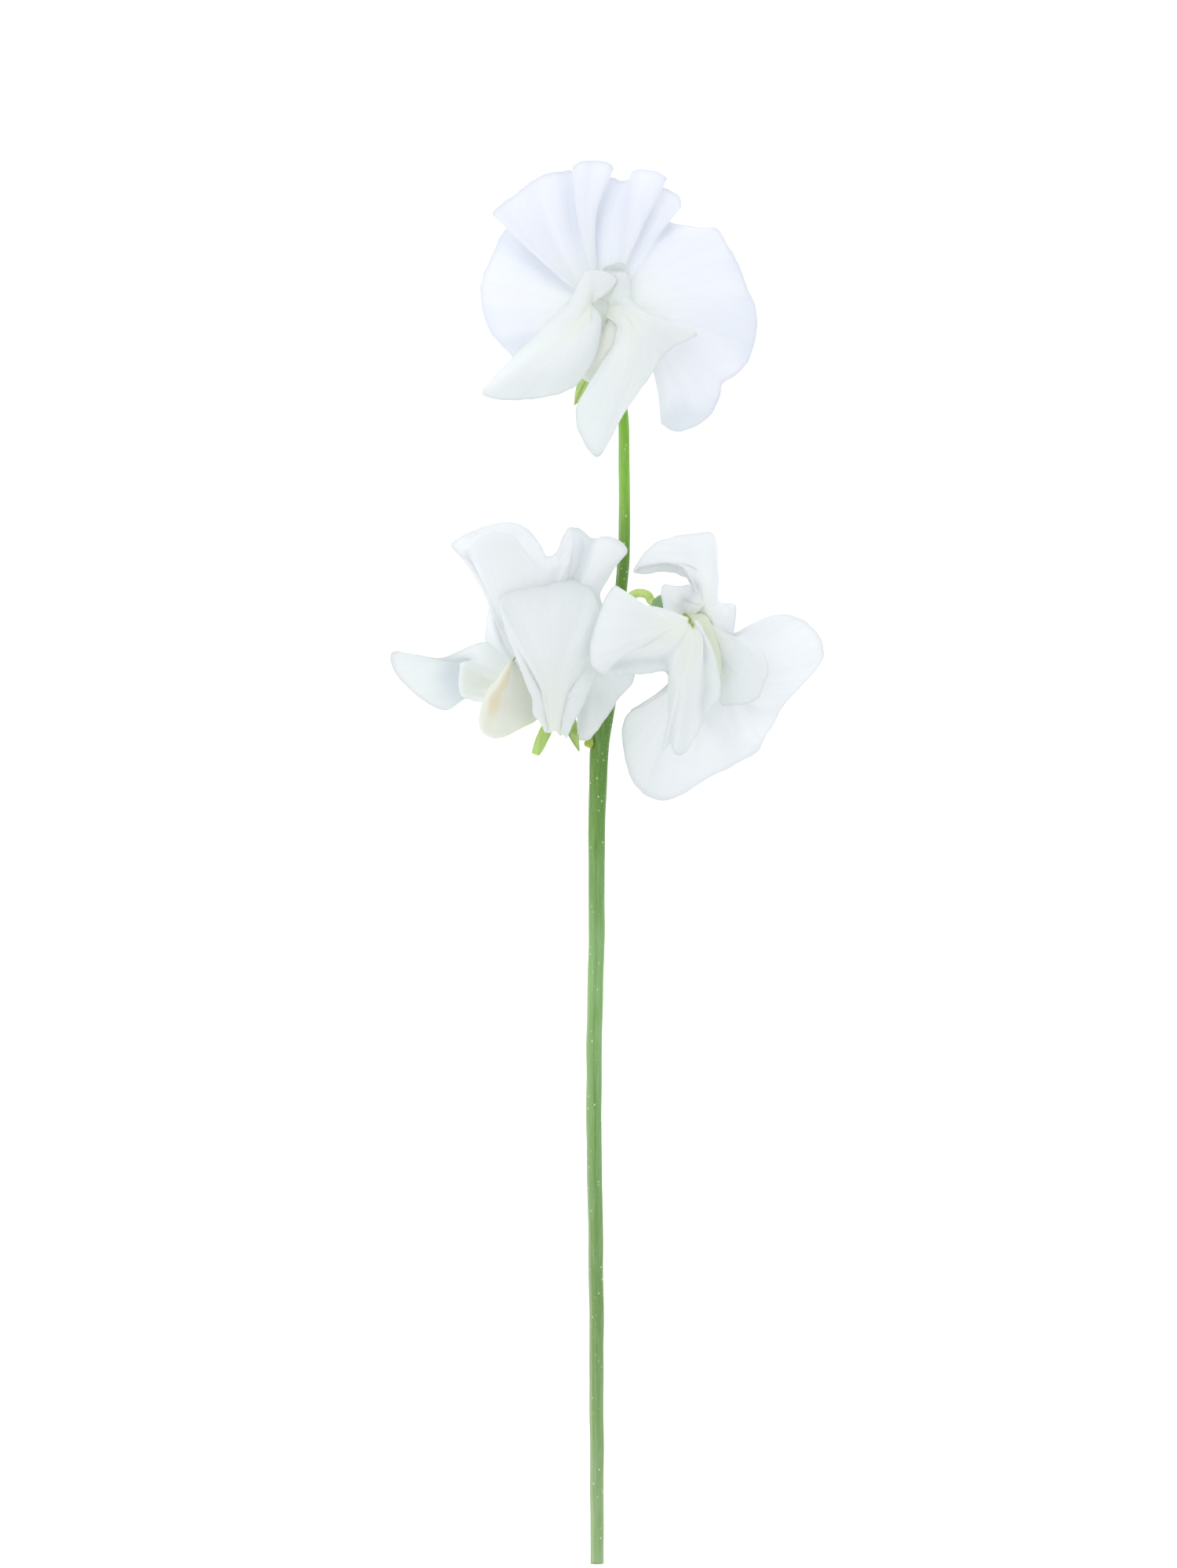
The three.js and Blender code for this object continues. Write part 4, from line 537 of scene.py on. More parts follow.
RIGHT_NEAR_WING = [
    [[-0.9, 0.7, 25.4], [-2, 1.1, 25], 0.1], [[-1.8, 0.8, 26.2], [-4.2, 2.1, 25.4], 0.6],
    [[-2.8, 0.7, 27.2], [-7, 2.6, 26], 1.2], [[-3.8, 0.5, 28], [-9.5, 3.4, 26.6], 1.6],
    [[-4.6, 0.3, 28.8], [-12.5, 5.8, 27], 2], [[-5, -0.4, 29.2], [-14.8, 1.2, 27.6], 2.4],
    [[-5.2, -1.2, 29.4], [-16.1, -3.1, 27.8], 2.6], [[-5.1, -2, 29.4], [-15.9, -6.9, 28], 2.4],
    [[-4.9, -2.6, 29.4], [-11, -5.4, 28.2], [-12.6, -7, 26.4], [-13.4, -8.4, 27.4]],
    [[-4.4, -3.2, 29], [-8.8, -5.2, 27.4], [-9.8, -6.6, 25.2], [-10.3, -8.3, 26.4]],
    [[-3.8, -3.6, 28.4], [-6.2, -5.2, 26.8], [-6.8, -6.4, 24.6], [-7.1, -8.1, 25.6]],
    [[-3, -4, 27.6], [-4, -5.4, 26], [-4.2, -6.6, 24.2], [-4.2, -7.8, 24.4]],
    [[-2.6, -4.6, 27], [-3.8, -10.6, 22], 1.6], [[-2, -5.2, 26.8], [-3.8, -14.4, 20.4], 2],
    [[-1.5, -5.6, 26.6], [-4.2, -17.5, 19], 2.4], [[-1.1, -5.9, 26.4], [-4.6, -20.2, 17.8], 2.8],
    [[-0.7, -6.1, 26.4], [-3.4, -19, 18.4], 2.8], [[-0.3, -6.2, 26.2], [-2.6, -20.8, 17.8], 3],
    [[0.1, -6.2, 26], [-1, -20.5, 18], 2.8], [[0.4, -6.1, 25.8], [0.3, -18.4, 18.8], 2.4],
    [[0.7, -5.8, 25.6], [1.2, -9, 24.2], [1.4, -12.4, 21.4], [1.9, -15.4, 20]],
    [[1.1, -5.2, 25.4], [1.6, -8, 23.4], [2.4, -11, 21.6], [3.5, -13, 21.4]],
    [[1.4, -4.4, 25.2], [1.7, -6.4, 23.2], [3, -9.4, 22.6], [4.4, -11.4, 22]],
    [[1.5, -3.4, 25], [1.6, -4.8, 23.2], [2.9, -6.8, 23], [4.2, -8.1, 22.8]],
    [[1.4, -2.2, 25], [1.6, -2.9, 23.8], [2.3, -3.6, 23.8], [3.2, -4.1, 23.8]],
    [[0.9, -0.8, 25], [1.6, -1.1, 24.6], 0], [[0.3, 0.2, 24.9], [0.9, 0.4, 24.6], 0],
]

RIGHT_FAR_WING = [
    [[3.8, -0.9, 18.6], [5, -1.4, 18.4], 0], [[4.6, -1.4, 18.6], [7.1, -2.4, 17.8], 0.3],
    [[5.4, -2, 18.6], [9.1, -3, 17.6], 0.6], [[6, -2.8, 18.6], [10.6, -4.1, 17.4], 0.9],
    [[6.4, -3.8, 18.6], [11.8, -6, 17.4], 1.1], [[6.4, -4.8, 18.4], [12, -7.9, 17], 1.2],
    [[6.2, -5.8, 18.2], [11.2, -10.4, 16.4], 1.2], [[5.8, -6.4, 17.9], [10.5, -11.9, 15.8], 1.1],
    [[5.4, -6.6, 17.5], [8.5, -12.8, 15.4], 1], [[4.9, -6.4, 17.2], [6.2, -13.1, 15.4], 0.8],
    [[4.4, -5.8, 17.2], [4.5, -12.8, 15.6], 0.6], [[3.9, -4.6, 17.4], [4.1, -9.4, 16.4], 0.4],
    [[3.4, -3.2, 17.8], [3.5, -5.6, 17], 0.2],
]


# ---- organs in the middle ----

def keel_lines(flower, shape, rows):
    """The line under a keel and the line of its brims, both from the calyx to the beak."""
    place = axes(flower)[0]

    def line(towards, points):
        return even([place(ROOT, 0.8 * towards, 0), place(CUP["depth"], towards, 0), *points], rows)

    return line(-1.5, shape["bottom"]), line(0.7, shape["brim"])


def keel(name, flower, shape, material):
    """A boat: its stem line below, two brims above that meet at the beak."""
    rows, columns = 72, 41
    lower, upper = keel_lines(flower, shape, rows)
    half = shape["half"]
    share = np.linspace(0, 1, rows)
    wide = between([[0, 0.75], [0.2, 1], [0.5, half], [0.8, 0.8 * half], [1, 0.3]], share)
    out = unit(np.cross(upper - lower, np.gradient(lower, axis=0)))
    a = np.linspace(1, -1, columns)
    bulge = np.sign(a) * np.sin(np.pi * (0.1 + 0.82 * np.abs(a))) * ease(np.abs(a), 0, 0.12)
    rise = np.abs(a)[None, :, None] ** 1.6
    grid = lower[:, None] * (1 - rise) + upper[:, None] * rise
    grid = relax(grid + out[:, None] * (wide[:, None] * bulge[None])[..., None], 4, 0.4)
    u = np.broadcast_to(a, (rows, columns))
    v = np.broadcast_to(share[:, None], (rows, columns))
    ripple = 0.05 * wavy(14 * u + 9 * v, (4.0, 2.3), 7) * ease(v, 0.3, 0.5)
    grid = grid + normals(grid) * ripple[..., None]
    return organ(name, flower, sheet(grid, KEEL_WALL, np.stack([u, v], -1)), material)


def stamens(name, flower, shape, material):
    """The filaments' open sheath, with the anthers crowded at its end."""
    lower, upper = keel_lines(flower, shape, 40)
    middle = (lower + upper) / 2
    line = middle[:-7]
    u, w = frames(line, axes(flower)[1])
    share = np.linspace(0, 1, len(line))
    angles = np.radians(np.linspace(-140, 140, 37))
    radius = between([[0, 0.28], [0.4, 0.26], [0.6, 0.44], [1, 0.36]], share)[:, None]
    radius = radius * (1 + 0.05 * np.cos(angles * 11.5))
    grid = line[:, None] + radius[..., None] * (
        w[:, None] * np.sin(angles)[None, :, None] - u[:, None] * np.cos(angles)[None, :, None])
    values = np.stack(np.broadcast_arrays(angles[None], share[:, None]), -1)
    points, faces, uv = sheet(grid, SHEATH_WALL, values)
    faces = faces.tolist()
    rng = np.random.default_rng(5)
    anther = [[math.sin(p) * math.cos(q), math.sin(p) * math.sin(q), math.cos(p)]
              for p in np.linspace(0.3, 2.84, 6) for q in np.linspace(0, 2 * np.pi, 9)[:-1]]
    anther = np.array(anther).reshape(6, 8, 3) * [0.2, 0.3, 0.2]
    end = middle[-9:-2]
    for k in range(9):
        centre = end[k * (len(end) - 1) // 8] + rng.normal(0, 0.12, 3)
        p, f, _ = loft((centre + anther)[::-1])
        faces += [[int(i) + len(points) for i in face] for face in f]
        points = np.vstack([points, p])
        uv = np.vstack([uv, np.full((len(p), 2), 2.0)])
    return organ(name, flower, (points, faces, uv), material)


def pistil(name, flower, shape, material):
    """Ovary and style along the keel's middle; a keel may let the style's tip out."""
    lower, upper = keel_lines(flower, shape, 40)
    line = even([*(lower + upper)[::3] / 2, *shape.get("tip", [])], 60)
    thick = [[0, 0.12], [0.4, 0.1], [0.6, 0.2], [0.97, 0.12], [1, 0.06]]
    body = stalk(line, lambda share, angle: between(thick, share), 12, axes(flower)[1])
    return organ(name, flower, body, material)


def calyx(name, flower, material):
    """A ribbed cup with five pointed teeth that bend outwards."""
    place = axes(flower)[0]
    angle = np.radians(np.arange(0, 360, 2))
    teeth = [[*tooth, *USUAL_TOOTH[len(tooth) - 2:]] for tooth in flower["teeth"]]
    away = np.array([np.abs(np.angle(np.exp(1j * (angle - math.radians(tooth[0]))))) for tooth in teeth])
    nearest = away.argmin(0)
    _, length, bend, half, taper, blunt = np.array(teeth)[nearest].T
    share = np.clip(1 - away.min(0) / np.radians(half), 0, 1)
    reach = length * np.minimum(share / blunt, 1) ** taper
    cup = [[0, 0.85], [0.7, 1.75], [2.2, 2.6], [CUP["depth"], CUP["radius"]]]

    def ring(at, wall, floor):
        travelled = floor + (CUP["depth"] + reach - floor) * at
        arc = np.maximum(reach, 3) / bend
        turned = np.maximum(travelled - CUP["depth"], 0) / arc
        height = np.minimum(travelled, CUP["depth"]) + (arc + wall) * np.sin(turned)
        radius = between(cup, np.minimum(travelled, CUP["depth"])) + arc * (1 - np.cos(turned))
        rib = 0.1 * (share**6 - 0.3) * (1 - 0.5 * at) * (wall == 0)
        radius = radius - wall * np.cos(turned) + rib
        return np.array([place(h, -r * math.cos(a), r * math.sin(a))
                         for h, r, a in zip(height, radius, angle)])

    outer = [ring(at, 0, 0) for at in [0, 0.03, *np.linspace(0.07, 0.98, 22)]]
    inner = [ring(at, CUP["wall"] * (1 - 0.5 * at), CUP["floor"]) for at in np.linspace(0.97, 0, 16)]
    points, faces, uv = loft([*outer, *inner])
    uv[:, 1] = np.r_[np.repeat(np.linspace(0, 1, len(outer)), len(angle)),
                     np.repeat(np.linspace(1, 0, len(inner)), len(angle)), 0, 0]
    return organ(name, flower, (points, faces, uv), material)


# ---- stem, stalks and hairs ----

def pedicel(name, flower, points, material):
    """A blossom's own stalk with five faint ribs, from its calyx's foot to the stem."""
    place = axes(flower)[0]
    line = even([place(-0.3, 0, 0), place(-1.5, 0, 0), *points], 70)

    def radius(share, angle):
        swell = between([[0, 0.85], [0.06, 0.72], [0.8, 0.68], [1, 0.8]], share)
        return swell * (1 + 0.05 * np.cos(5 * angle + 1.5 * share))

    return organ(name, flower, stalk(line, radius, 20), material)


def peduncle(name, material):
    """The stem: faint ribs, a groove on its upper side about halfway, and two slight knots."""
    line = even(STEM_ROUTE, 420)
    line = line + wavy(np.linspace(0, 190, 420), (37, 21, 12), 3)[:, None] * [0.12, 0, 0.05]

    def radius(share, angle):
        r = between(STEM_RADIUS, share)
        r = r * (1 + 0.045 * np.cos(4 * angle + 0.5) + 0.02 * np.cos(9 * angle + 6 * share))
        groove = ease(share, 0.38, 0.48) * ease(share, 0.66, 0.56)
        turn = np.angle(np.exp(1j * (angle - 0.1)))
        r = r * (1 - 0.2 * groove * np.exp(-(turn / 0.22) ** 2))
        knots = 0.05 * np.exp(-((share - 0.7) / 0.012) ** 2) + 0.04 * np.exp(-((share - 0.855) / 0.01) ** 2)
        return r * (1 + knots + 0.012 * wavy(90 * share, (5, 3.1), 8))

    points, faces, uv = stalk(line, radius, 48)
    return make(name, points, faces, name, material, uv)


def bract(name, material):
    """The small lumpy bract at the foot of the left stalk."""
    line = even([[-0.9, 130.6, 8.7], [-1.4, 130.9, 9], [-1.8, 131.4, 9.1]], 24)

    def radius(share, angle):
        swell = between([[0, 0.45], [0.2, 0.78], [0.5, 0.86], [0.8, 0.7], [0.93, 0.5], [1, 0.2]], share)
        return swell * (1 + 0.14 * np.cos(3 * angle + 5 * share) + 0.08 * np.cos(5 * angle - 9 * share))

    points, faces, uv = stalk(line, radius, 20)
    return make(name, points, faces, name, material, uv)


def hairs(name, carriers, count, length, material, seed):
    """Short fine hairs, each a thin three-sided spike, seeded over some pieces."""
    rng = np.random.default_rng(seed)
    roots, ways = [], []
    for carrier in carriers:
        sides = carrier.data.polygons
        centre, normal, area = (np.zeros(len(sides) * size) for size in (3, 3, 1))
        sides.foreach_get("center", centre)
        sides.foreach_get("normal", normal)
        sides.foreach_get("area", area)
        picked = rng.choice(len(sides), int(count / len(carriers)), p=area / area.sum())
        roots.append(centre.reshape(-1, 3)[picked] / MM)
        ways.append(normal.reshape(-1, 3)[picked])
    roots, ways = np.vstack(roots), np.vstack(ways)
    lean = unit(ways + rng.normal(0, 0.35, ways.shape) + [0, 0.25, 0])
    tall = length * rng.uniform(0.5, 1.3, (len(roots), 1))
    aside = unit(np.cross(lean, [0.3, 0.5, 0.8]))
    other = np.cross(lean, aside)
    base = roots - ways * 0.03
    corners = [base + HAIR_RADIUS * (math.cos(turn) * aside + math.sin(turn) * other)
               for turn in (0, 2 * math.pi / 3, 4 * math.pi / 3)]
    points = np.stack([*corners, base + lean * tall], 1).reshape(-1, 3) - SHIFT
    points[:, 2] = np.maximum(points[:, 2], LOWEST_HAIR - SHIFT[2])
    start = np.arange(len(roots))[:, None] * 4
    faces = np.vstack([start + face for face in ([0, 1, 3], [1, 2, 3], [2, 0, 3], [0, 2, 1])])
    return make(name, points, faces, None, material)


# ---- materials ----

class Nodes:
    """A short way to wire a material."""

    def __init__(self, name):
        self.material = bpy.data.materials.new(name)
        self.material.use_nodes = True
        self.tree = self.material.node_tree
        self.tree.nodes.clear()

    def add(self, kind, inputs=(), **settings):
        """A node whose inputs are numbers, colours or other nodes' outputs."""
        node = self.tree.nodes.new("ShaderNode" + kind)
        for key, value in settings.items():
            setattr(node, key, value)
        for key, value in dict(inputs).items():
            socket = node.inputs[key]
            if isinstance(value, bpy.types.NodeSocket):
                self.tree.links.new(value, socket)
            else:
                socket.default_value = value
        return node

    def maths(self, operation, *values, clamp=False):
        return self.add("Math", dict(enumerate(values)), operation=operation, use_clamp=clamp).outputs[0]

    def scaled(self, value, times, plus=0.0, clamp=False):
        """value * times + plus, held between 0 and 1 if clamp is set."""
        return self.maths("MULTIPLY_ADD", value, times, plus, clamp=clamp)

    def uneven(self, value, texture, amount):
        """A value made uneven by a texture that swings around 0.5."""
        return self.maths("ADD", value, self.scaled(texture, amount, -amount / 2))

    def mix(self, share, a, b, blend="MIX"):
        a, b = ((*colour, 1) if isinstance(colour, tuple) else colour for colour in (a, b))
        node = self.add("Mix", {"Factor": share, 6: a, 7: b}, data_type="RGBA", blend_type=blend)
        return node.outputs[2]

    def product(self, a, b):
        return self.mix(1.0, a, b, "MULTIPLY")

    def tinted(self, share, base, colour):
        """A base colour, by some share multiplied with another."""
        return self.mix(share, base, self.product(base, colour))

    def ramp(self, value, stops, smooth=True):
        """A colour that follows a value through (place, colour) stops."""
        node = self.add("ValToRGB", {"Fac": value})
        node.color_ramp.interpolation = "EASE" if smooth else "LINEAR"
        while len(node.color_ramp.elements) < len(stops):
            node.color_ramp.elements.new(0.5)
        for element, (place, colour) in zip(node.color_ramp.elements, stops):
            element.position = place
            element.color = (*colour, 1)
        return node.outputs["Color"]

    def fade(self, value, *stops):
        """A grey that follows a value through (place, lightness) stops."""
        return self.ramp(value, [(place, (light, light, light)) for place, light in stops])

    def noise(self, vector, scale, detail=3.0, rough=0.5):
        inputs = {"Vector": vector, "Scale": scale, "Detail": detail, "Roughness": rough}
        return self.add("TexNoise", inputs).outputs["Fac"]

    def where(self, kind="Object"):
        return self.add("TexCoord").outputs[kind]

    def drawn(self, vector, squeeze):
        """Places squeezed along Y, so that a texture's marks come out longer that way."""
        return self.add("Mapping", {"Vector": vector, "Scale": (1.0, squeeze, 1.0)}).outputs[0]

    def finish(self, surface):
        self.add("OutputMaterial", {"Surface": surface})
        return self.material

    def lit(self, share, surface, passing):
        """The finished material: a surface, and by some share the light that comes through."""
        return self.finish(self.add("MixShader", {0: share, 1: surface, 2: passing}).outputs[0])


def rgb(r, g, b):
    """A colour as seen on a screen, 0 to 255, as the shader needs it."""
    return tuple(((c / 255 + 0.055) / 1.055) ** 2.4 if c > 10 else c / 255 / 12.92 for c in (r, g, b))


def petal_material(name, blade, claw, vein, through, share, veins=1.1, band=None, heart=None):
    """Thin living tissue: faint branching veins, greener towards the claw, light passing through, with shade
    painted along the margin and into the creases.
    """
    blade, claw, vein = (rgb(*colour) for colour in (blade, claw, vein))
    m = Nodes(name)
    u, v, _ = m.add("SeparateXYZ", {"Vector": m.add("UVMap", uv_map="petal").outputs[0]}).outputs
    spot = m.where()
    along = m.uneven(u, m.noise(spot, 180.0, 2.0), 2.2)

    def lines(per_mm, sharp):
        wave = m.maths("SINE", m.scaled(along, 2 * math.pi * per_mm))
        return m.maths("POWER", m.scaled(wave, 0.5, 0.5), sharp)

    branch = m.scaled(lines(veins * 2 / 3, 7.0), m.scaled(v, 1.2, clamp=True))
    fine = m.scaled(lines(veins * 1.9, 3.0), m.scaled(v, 1.6, -0.5, clamp=True))
    network = m.scaled(branch, 0.4, m.scaled(lines(veins / 3, 9.0), 0.6))
    network = m.scaled(fine, 0.25, network, clamp=True)
    network = m.scaled(network, m.scaled(v, 2.5, 0.15, clamp=True))
    patch = m.noise(spot, 90.0, 4.0, 0.55)
    cells = m.noise(spot, 1400.0, 2.0, 0.6)
    halfway = tuple((a + b) / 2 for a, b in zip(claw, blade))
    base = m.ramp(m.uneven(v, patch, 0.3), [(0.0, claw), (0.22, halfway), (0.6, blade)])
    base = m.mix(m.scaled(network, 0.16), base, vein)
    base = m.mix(m.scaled(patch, 0.28, -0.06, clamp=True), base, tuple(c * 0.97 for c in blade))
    # painted shade: a greyer band along the margin, standing for the shadow at the petal's edge
    rim = m.fade(m.uneven(v, patch, 0.04), (0.955, 0), (1.0, 0.3))
    base = m.mix(rim, base, tuple(c * 0.86 for c in vein))
    if band:
        side = m.maths("ABSOLUTE", m.maths("ADD", m.maths("ABSOLUTE", u), m.scaled(patch, 0.3, -0.5)))
        strip = m.product(m.fade(side, (0.05, 0.9), (0.24, 0)), m.fade(v, (0.62, 0), (0.75, 1)))
        base = m.mix(strip, base, rgb(*band))
    # painted shade: the colour darkens in the creases, by how deep they lie
    fold_shade = m.add("Attribute", attribute_name="fold_shade").outputs["Fac"]
    base = m.mix(m.scaled(fold_shade, 0.7), base, tuple(a * b for a, b in zip(blade, (0.8, 0.835, 0.87))))
    if heart:
        base = m.mix(m.fade(m.uneven(v, patch, 0.03), (0.012, 0.95), (0.05, 0)), base, rgb(*heart))
    height = m.scaled(network, 0.5, m.scaled(cells, 0.22))
    bump = m.add("Bump", {"Strength": 0.35, "Distance": 0.00012, "Height": height}).outputs[0]
    surface = m.add("BsdfPrincipled", {
        "Base Color": base, "Roughness": m.scaled(cells, 0.2, 0.4), "Normal": bump,
        "Specular IOR Level": 0.35, "Sheen Weight": 0.15, "Sheen Roughness": 0.4}).outputs[0]
    passing = m.mix(m.scaled(network, 0.2), m.product(base, through), vein)
    return m.lit(share, surface, m.add("BsdfTranslucent", {"Color": passing, "Normal": bump}).outputs[0])


def green_material(name, stops, low=-0.1, high=0.1, share=0.15, streak=0.35, marks=False):
    """Stem and calyx tissue: colour along Y from low to high (metres), lengthwise streaks, pale specks."""
    m = Nodes(name)
    spot = m.where()
    place = m.add("SeparateXYZ", {"Vector": spot}).outputs[1]
    along = m.add("MapRange", {"Value": place, "From Min": low, "From Max": high}).outputs[0]
    base = m.ramp(along, [(at, rgb(*colour)) for at, colour in stops], smooth=False)
    lines = m.noise(m.drawn(spot, 0.05), 2600.0, 3.0, 0.6)
    patch = m.noise(spot, 160.0)
    grain = m.noise(spot, 3000.0, 2.0, 0.6)
    dark = m.product(base, (0.72, 0.78, 0.62))
    light = m.mix(0.45, base, rgb(190, 208, 170))
    base = m.mix(m.fade(lines, (0.35, 0), (0.7, streak)), base, dark)
    base = m.mix(m.fade(lines, (0.3, streak), (0.48, 0)), base, light)
    base = m.tinted(m.scaled(patch, 0.5, -0.1, clamp=True), base, (0.86, 0.92, 0.8))
    base = m.mix(m.fade(grain, (0.66, 0), (0.74, 0.35)), base, rgb(214, 224, 200))
    # the stem's marks, together with painted light and shade on its flanks and painted highlights
    if marks:
        base = marks_and_painted_light(m, base, spot, along, grain)
    height = m.scaled(lines, 0.6, m.scaled(grain, 0.3))
    bump = m.add("Bump", {"Strength": 0.4, "Distance": 0.00015, "Height": height}).outputs[0]
    surface = m.add("BsdfPrincipled", {
        "Base Color": base, "Roughness": m.scaled(grain, 0.25, 0.38), "Normal": bump,
        "Specular IOR Level": 0.4, "Sheen Weight": 0.12}).outputs[0]
    return m.lit(share, surface, m.add("BsdfTranslucent", {"Color": base}).outputs[0])


def marks_and_painted_light(m, base, spot, along, grain):
    """The stem's marks and painted light: olive patches, painted shade on the right flank and painted light
    on the left one by the way the surface faces, a darker line along one side, pale dots as painted
    highlights.
    """
    patch = m.noise(m.drawn(spot, 0.12), 900.0, 3.0, 0.55)
    facing = m.add("SeparateXYZ", {"Vector": m.where("Normal")}).outputs[0]
    turn = m.uneven(m.scaled(facing, 0.5, 0.5), patch, 0.16)
    base = m.tinted(m.fade(patch, (0.42, 0.4), (0.58, 0)), base, (0.82, 0.92, 0.55))
    # painted shade: the right flank darker and bluer, by the way the surface faces
    right = m.fade(turn, (0.5, 0), (0.72, 0.4), (0.93, 0.2), (1.0, 0))
    base = m.tinted(right, base, (0.66, 0.86, 0.98))
    # painted light: the left flank paler, by the way the surface faces
    left = m.product(m.fade(turn, (0.0, 0.65), (0.22, 0)), m.fade(along, (0.0, 1), (0.66, 0), (1.0, 0.8)))
    base = m.mix(left, base, rgb(184, 204, 168))
    off = m.maths("ABSOLUTE", m.maths("SUBTRACT", turn, 0.6))
    line = m.product(m.fade(off, (0.01, 0.75), (0.035, 0)),
                     m.fade(along, (0.2, 0.3), (0.4, 1), (0.64, 1), (0.68, 0)))
    base = m.tinted(line, base, (0.6, 0.72, 0.5))
    # painted highlights: small pale dots
    dots = m.add("TexVoronoi", {"Vector": m.drawn(spot, 0.7), "Scale": 950.0}).outputs["Distance"]
    return m.mix(m.fade(m.uneven(dots, grain, 0.16), (0.05, 0.85), (0.15, 0)), base, rgb(232, 242, 214))


# ---- the plant ----

STANDARD = petal_material("standard_petal", (249, 250, 254), (251, 253, 250), (238, 241, 247),
                          (0.99, 0.996, 1.0), 0.42)
LOW_STANDARD = petal_material("standard_petal_low", (250, 251, 253), (251, 253, 249), (239, 242, 243),
                              (0.99, 0.998, 0.994), 0.42)
WING_COLOURS = ((248, 250, 251), (249, 252, 244), (234, 240, 236), (0.985, 0.997, 0.985))
WING = petal_material("wing_petal", *WING_COLOURS, 0.38)
GREEN_HEART = petal_material("wing_petal_green", *WING_COLOURS, 0.38, heart=(186, 206, 96))
KEEL = petal_material("keel_petal", (254, 255, 252), (253, 255, 248), (238, 243, 230),
                      (0.99, 1.0, 0.975), 0.45, veins=3.0)
GREEN_KEEL = petal_material("keel_petal_green", (251, 254, 243), (246, 251, 228), (224, 235, 204),
                            (0.985, 1.0, 0.93), 0.45, veins=3.0)
OPEN_KEEL = petal_material("keel_petal_open", (253, 254, 249), (250, 252, 240), (236, 240, 222),
                           (0.99, 1.0, 0.965), 0.42, veins=3.0, band=(249, 240, 218))
SHEATH = petal_material("stamen_sheath", (232, 226, 190), (222, 226, 180), (206, 198, 156),
                        (1.0, 0.98, 0.85), 0.3, veins=3.0)
PISTIL = green_material("pistil", [(0.0, (120, 150, 70)), (1.0, (150, 176, 96))])
CALYX = green_material("calyx_green", [(0.0, (212, 236, 150)), (1.0, (212, 236, 146))], share=0.3)
# a darker copy of the calyx green, used for the right blossom's calyx
DARKER_CALYX = green_material("calyx_darker", [(0.0, (146, 182, 130)), (1.0, (142, 180, 128))], share=0.2)
PEDICEL = green_material("pedicel_green", [(0.0, (226, 243, 156)), (1.0, (218, 240, 148))], share=0.2)
BRACT = green_material("bract_green", [(0.0, (196, 214, 96)), (1.0, (196, 214, 96))], streak=0.7)
STEM = green_material("stem_green", [
    (0.0, (170, 198, 144)), (0.22, (134, 170, 102)), (0.5, (158, 198, 130)), (0.67, (112, 156, 66)),
    (0.85, (114, 156, 62)), (0.92, (154, 208, 74))], -0.112, 0.076, streak=0.5, marks=True)
HAIR = green_material("hair", [(0.0, (226, 232, 214)), (1.0, (226, 232, 214))], streak=0.1)


# a claw's rows: height, place towards the standard, place sideways, and both places' shift at the first rib
def standard_claw(turn):
    return [[ROOT, 1.2, 0, 0, 0.6 * turn], [6, 1.75, 0, 0, 1.2 * turn], [9.8, 2.6, 0, 0, 1.7 * turn]]


def wing_claw(turn):
    return [[ROOT, -0.1, 1.25 * turn, 0.3, 0], [CUP["depth"], -0.1, 1.7 * turn, 0.5, 0],
            [THROAT, 0.1, 2.1 * turn, 0.8, 0]]


for name, flower, shape, cup, boat in (
        ("top", TOP, TOP_KEEL, CALYX, KEEL), ("left", LEFT, LEFT_KEEL, CALYX, OPEN_KEEL),
        ("right", RIGHT, RIGHT_KEEL, DARKER_CALYX, GREEN_KEEL)):
    calyx(name + "_calyx", flower, cup)
    keel(name + "_keel", flower, shape, boat)
    stamens(name + "_stamens", flower, shape, SHEATH)
    pistil(name + "_pistil", flower, shape, PISTIL)

petal("top_standard", TOP, [*standard_claw(1), [11.3, 6.2, 0, 0, 2.2]], TOP_STANDARD, STANDARD,
      ruffle=0.3, seed=11, lengths=(15, 9), fold_shade_strength=1, rows=60)
petal("top_left_wing", TOP, [*wing_claw(-1), [13.4, 6, -1.7, 0.6, -0.3], [15.1, 6.5, -1.8, 0.4, -0.2]],
      TOP_LEFT_WING, WING, ruffle=0.15, seed=12, soften=14, per=8)
petal("top_right_wing", TOP, [*wing_claw(1), [13.2, 6, 0.4, 1, 0.3]], TOP_RIGHT_WING, WING,
      ruffle=0.15, seed=13, soften=20, per=8)
petal("left_standard", LEFT, standard_claw(1), LEFT_STANDARD, LOW_STANDARD,
      ruffle=0.25, seed=21, fold_shade_strength=0.8, rows=64, per=8)
petal("left_near_wing", LEFT, [*wing_claw(1), [14, -4.3, 3.8, 0, 1.2]], LEFT_NEAR_WING, WING,
      ruffle=0.15, seed=22, per=8)
petal("left_far_wing", LEFT, [*wing_claw(-1), [10.9, -0.1, -3.85, 0.9, 0]], LEFT_FAR_WING, WING,
      ruffle=0.15, seed=23, fold_shade_strength=1, per=10)
petal("right_standard", RIGHT, standard_claw(-1), RIGHT_STANDARD, LOW_STANDARD,
      ruffle=0.3, seed=31, fold_shade_strength=0.35, rows=60, per=7)
petal("right_near_wing", RIGHT,
      [*wing_claw(-1)[:2], [THROAT, -0.6, -0.9, 0.6, 0], [11.5, -1.6, -2.1, 0.3, -0.4],
       [13.4, -2, -3.5, -0.3, -0.7]],
      RIGHT_NEAR_WING, GREEN_HEART, ruffle=0.15, seed=32, soften=36, per=8)
petal("right_far_wing", RIGHT, [*wing_claw(1), [11.8, 1, 1.2, 0.6, -0.3]], RIGHT_FAR_WING, WING,
      ruffle=0.15, seed=33, per=9)

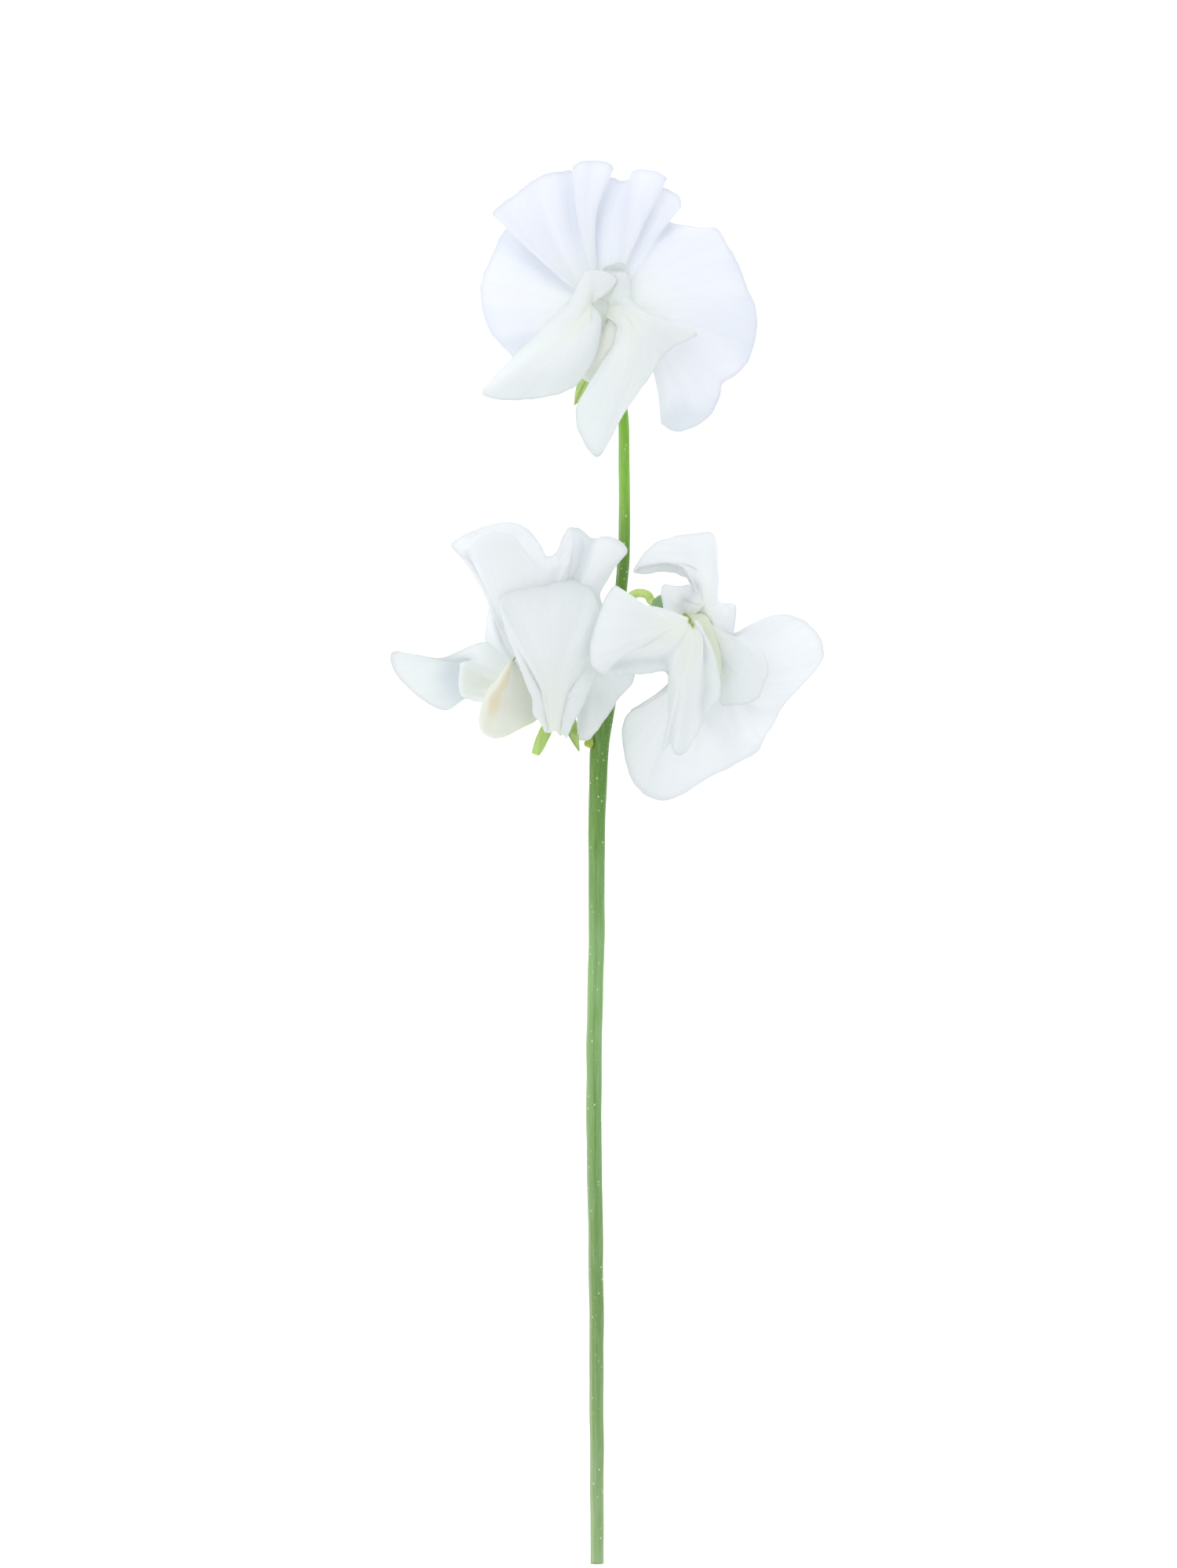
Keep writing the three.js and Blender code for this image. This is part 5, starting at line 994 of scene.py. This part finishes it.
stem = peduncle("peduncle", STEM)
stalks = [pedicel(name + "_pedicel", flower, route, PEDICEL) for name, flower, route in (
    ("top", TOP, [[0.8, -9, 1.9], [1.9, -10.9, 3.2], [2.7, -13.1, 5.1]]),
    ("left", LEFT, [[6, 3.6, 2], [6.5, 0, 2.6], [6.4, -2.2, 5.2], [6.85, -3, 7.05]]),
    ("right", RIGHT, [[-7, 4.5, 11.6], [-8.4, 4.9, 10.9], [-9.5, 4.5, 10.2], [-10.1, 3.6, 9.5]]))]
bract("left_bract", BRACT)
hairs("stem_hairs", [stem], 2600, 0.3, HAIR, 4)
hairs("stalk_hairs", stalks, 260, 0.25, HAIR, 6)


# ---- surface, light and camera ----

scene = bpy.context.scene
scene.view_settings.view_transform = "Standard"

floor_mesh = bpy.data.meshes.new("surface")
floor_mesh.from_pydata([(-3, -3, 0), (3, -3, 0), (3, 3, 0), (-3, 3, 0)], [], [(0, 1, 2, 3)])
floor = put("surface", floor_mesh)
m = Nodes("surface")
tint = m.fade(m.noise(m.where(), 3.0, 2.0), (0.3, 0.86), (0.7, 0.88))
matt = m.add("BsdfDiffuse", {"Color": tint}).outputs[0]
glow = m.add("Emission", {"Color": (1, 1, 1, 1), "Strength": 0.5}).outputs[0]
floor_mesh.materials.append(m.finish(m.add("AddShader", {0: matt, 1: glow}).outputs[0]))

world = bpy.data.worlds.new("studio")
world.use_nodes = True
world.node_tree.nodes["Background"].inputs["Color"].default_value = (0.97, 0.985, 1.0, 1)
world.node_tree.nodes["Background"].inputs["Strength"].default_value = 0.92
scene.world = world

WINDOW = np.array([-0.4, 0.42, 0.92])  # a soft lamp's place, in metres
AIM = np.array([0, 0.03, 0])
lamp_data = bpy.data.lights.new("window", "AREA")
lamp_data.size = 0.6
lamp_data.energy = 1.7
lamp = put("window", lamp_data)
lamp.location = WINDOW
way = AIM - WINDOW
lamp.rotation_euler = (math.atan2(math.hypot(way[0], way[1]), -way[2]), 0, math.atan2(-way[0], way[1]))

DISTANCE, VIEW_HEIGHT = 2.0, 0.249875  # the frame is this tall at the middle of the blossoms
BLOSSOM_HEIGHT = 0.012
VIEW_MIDDLE = (-1.5, 124.3125)  # the place under the camera, in the plant's axes
camera_data = bpy.data.cameras.new("camera")
camera_data.sensor_fit = "VERTICAL"
camera_data.sensor_height = 36
camera_data.lens = 36 * DISTANCE / VIEW_HEIGHT
camera_data.clip_end = 20
camera = put("camera", camera_data)
camera.location = (*((VIEW_MIDDLE + SHIFT[:2]) * MM), DISTANCE + BLOSSOM_HEIGHT)
scene.camera = camera
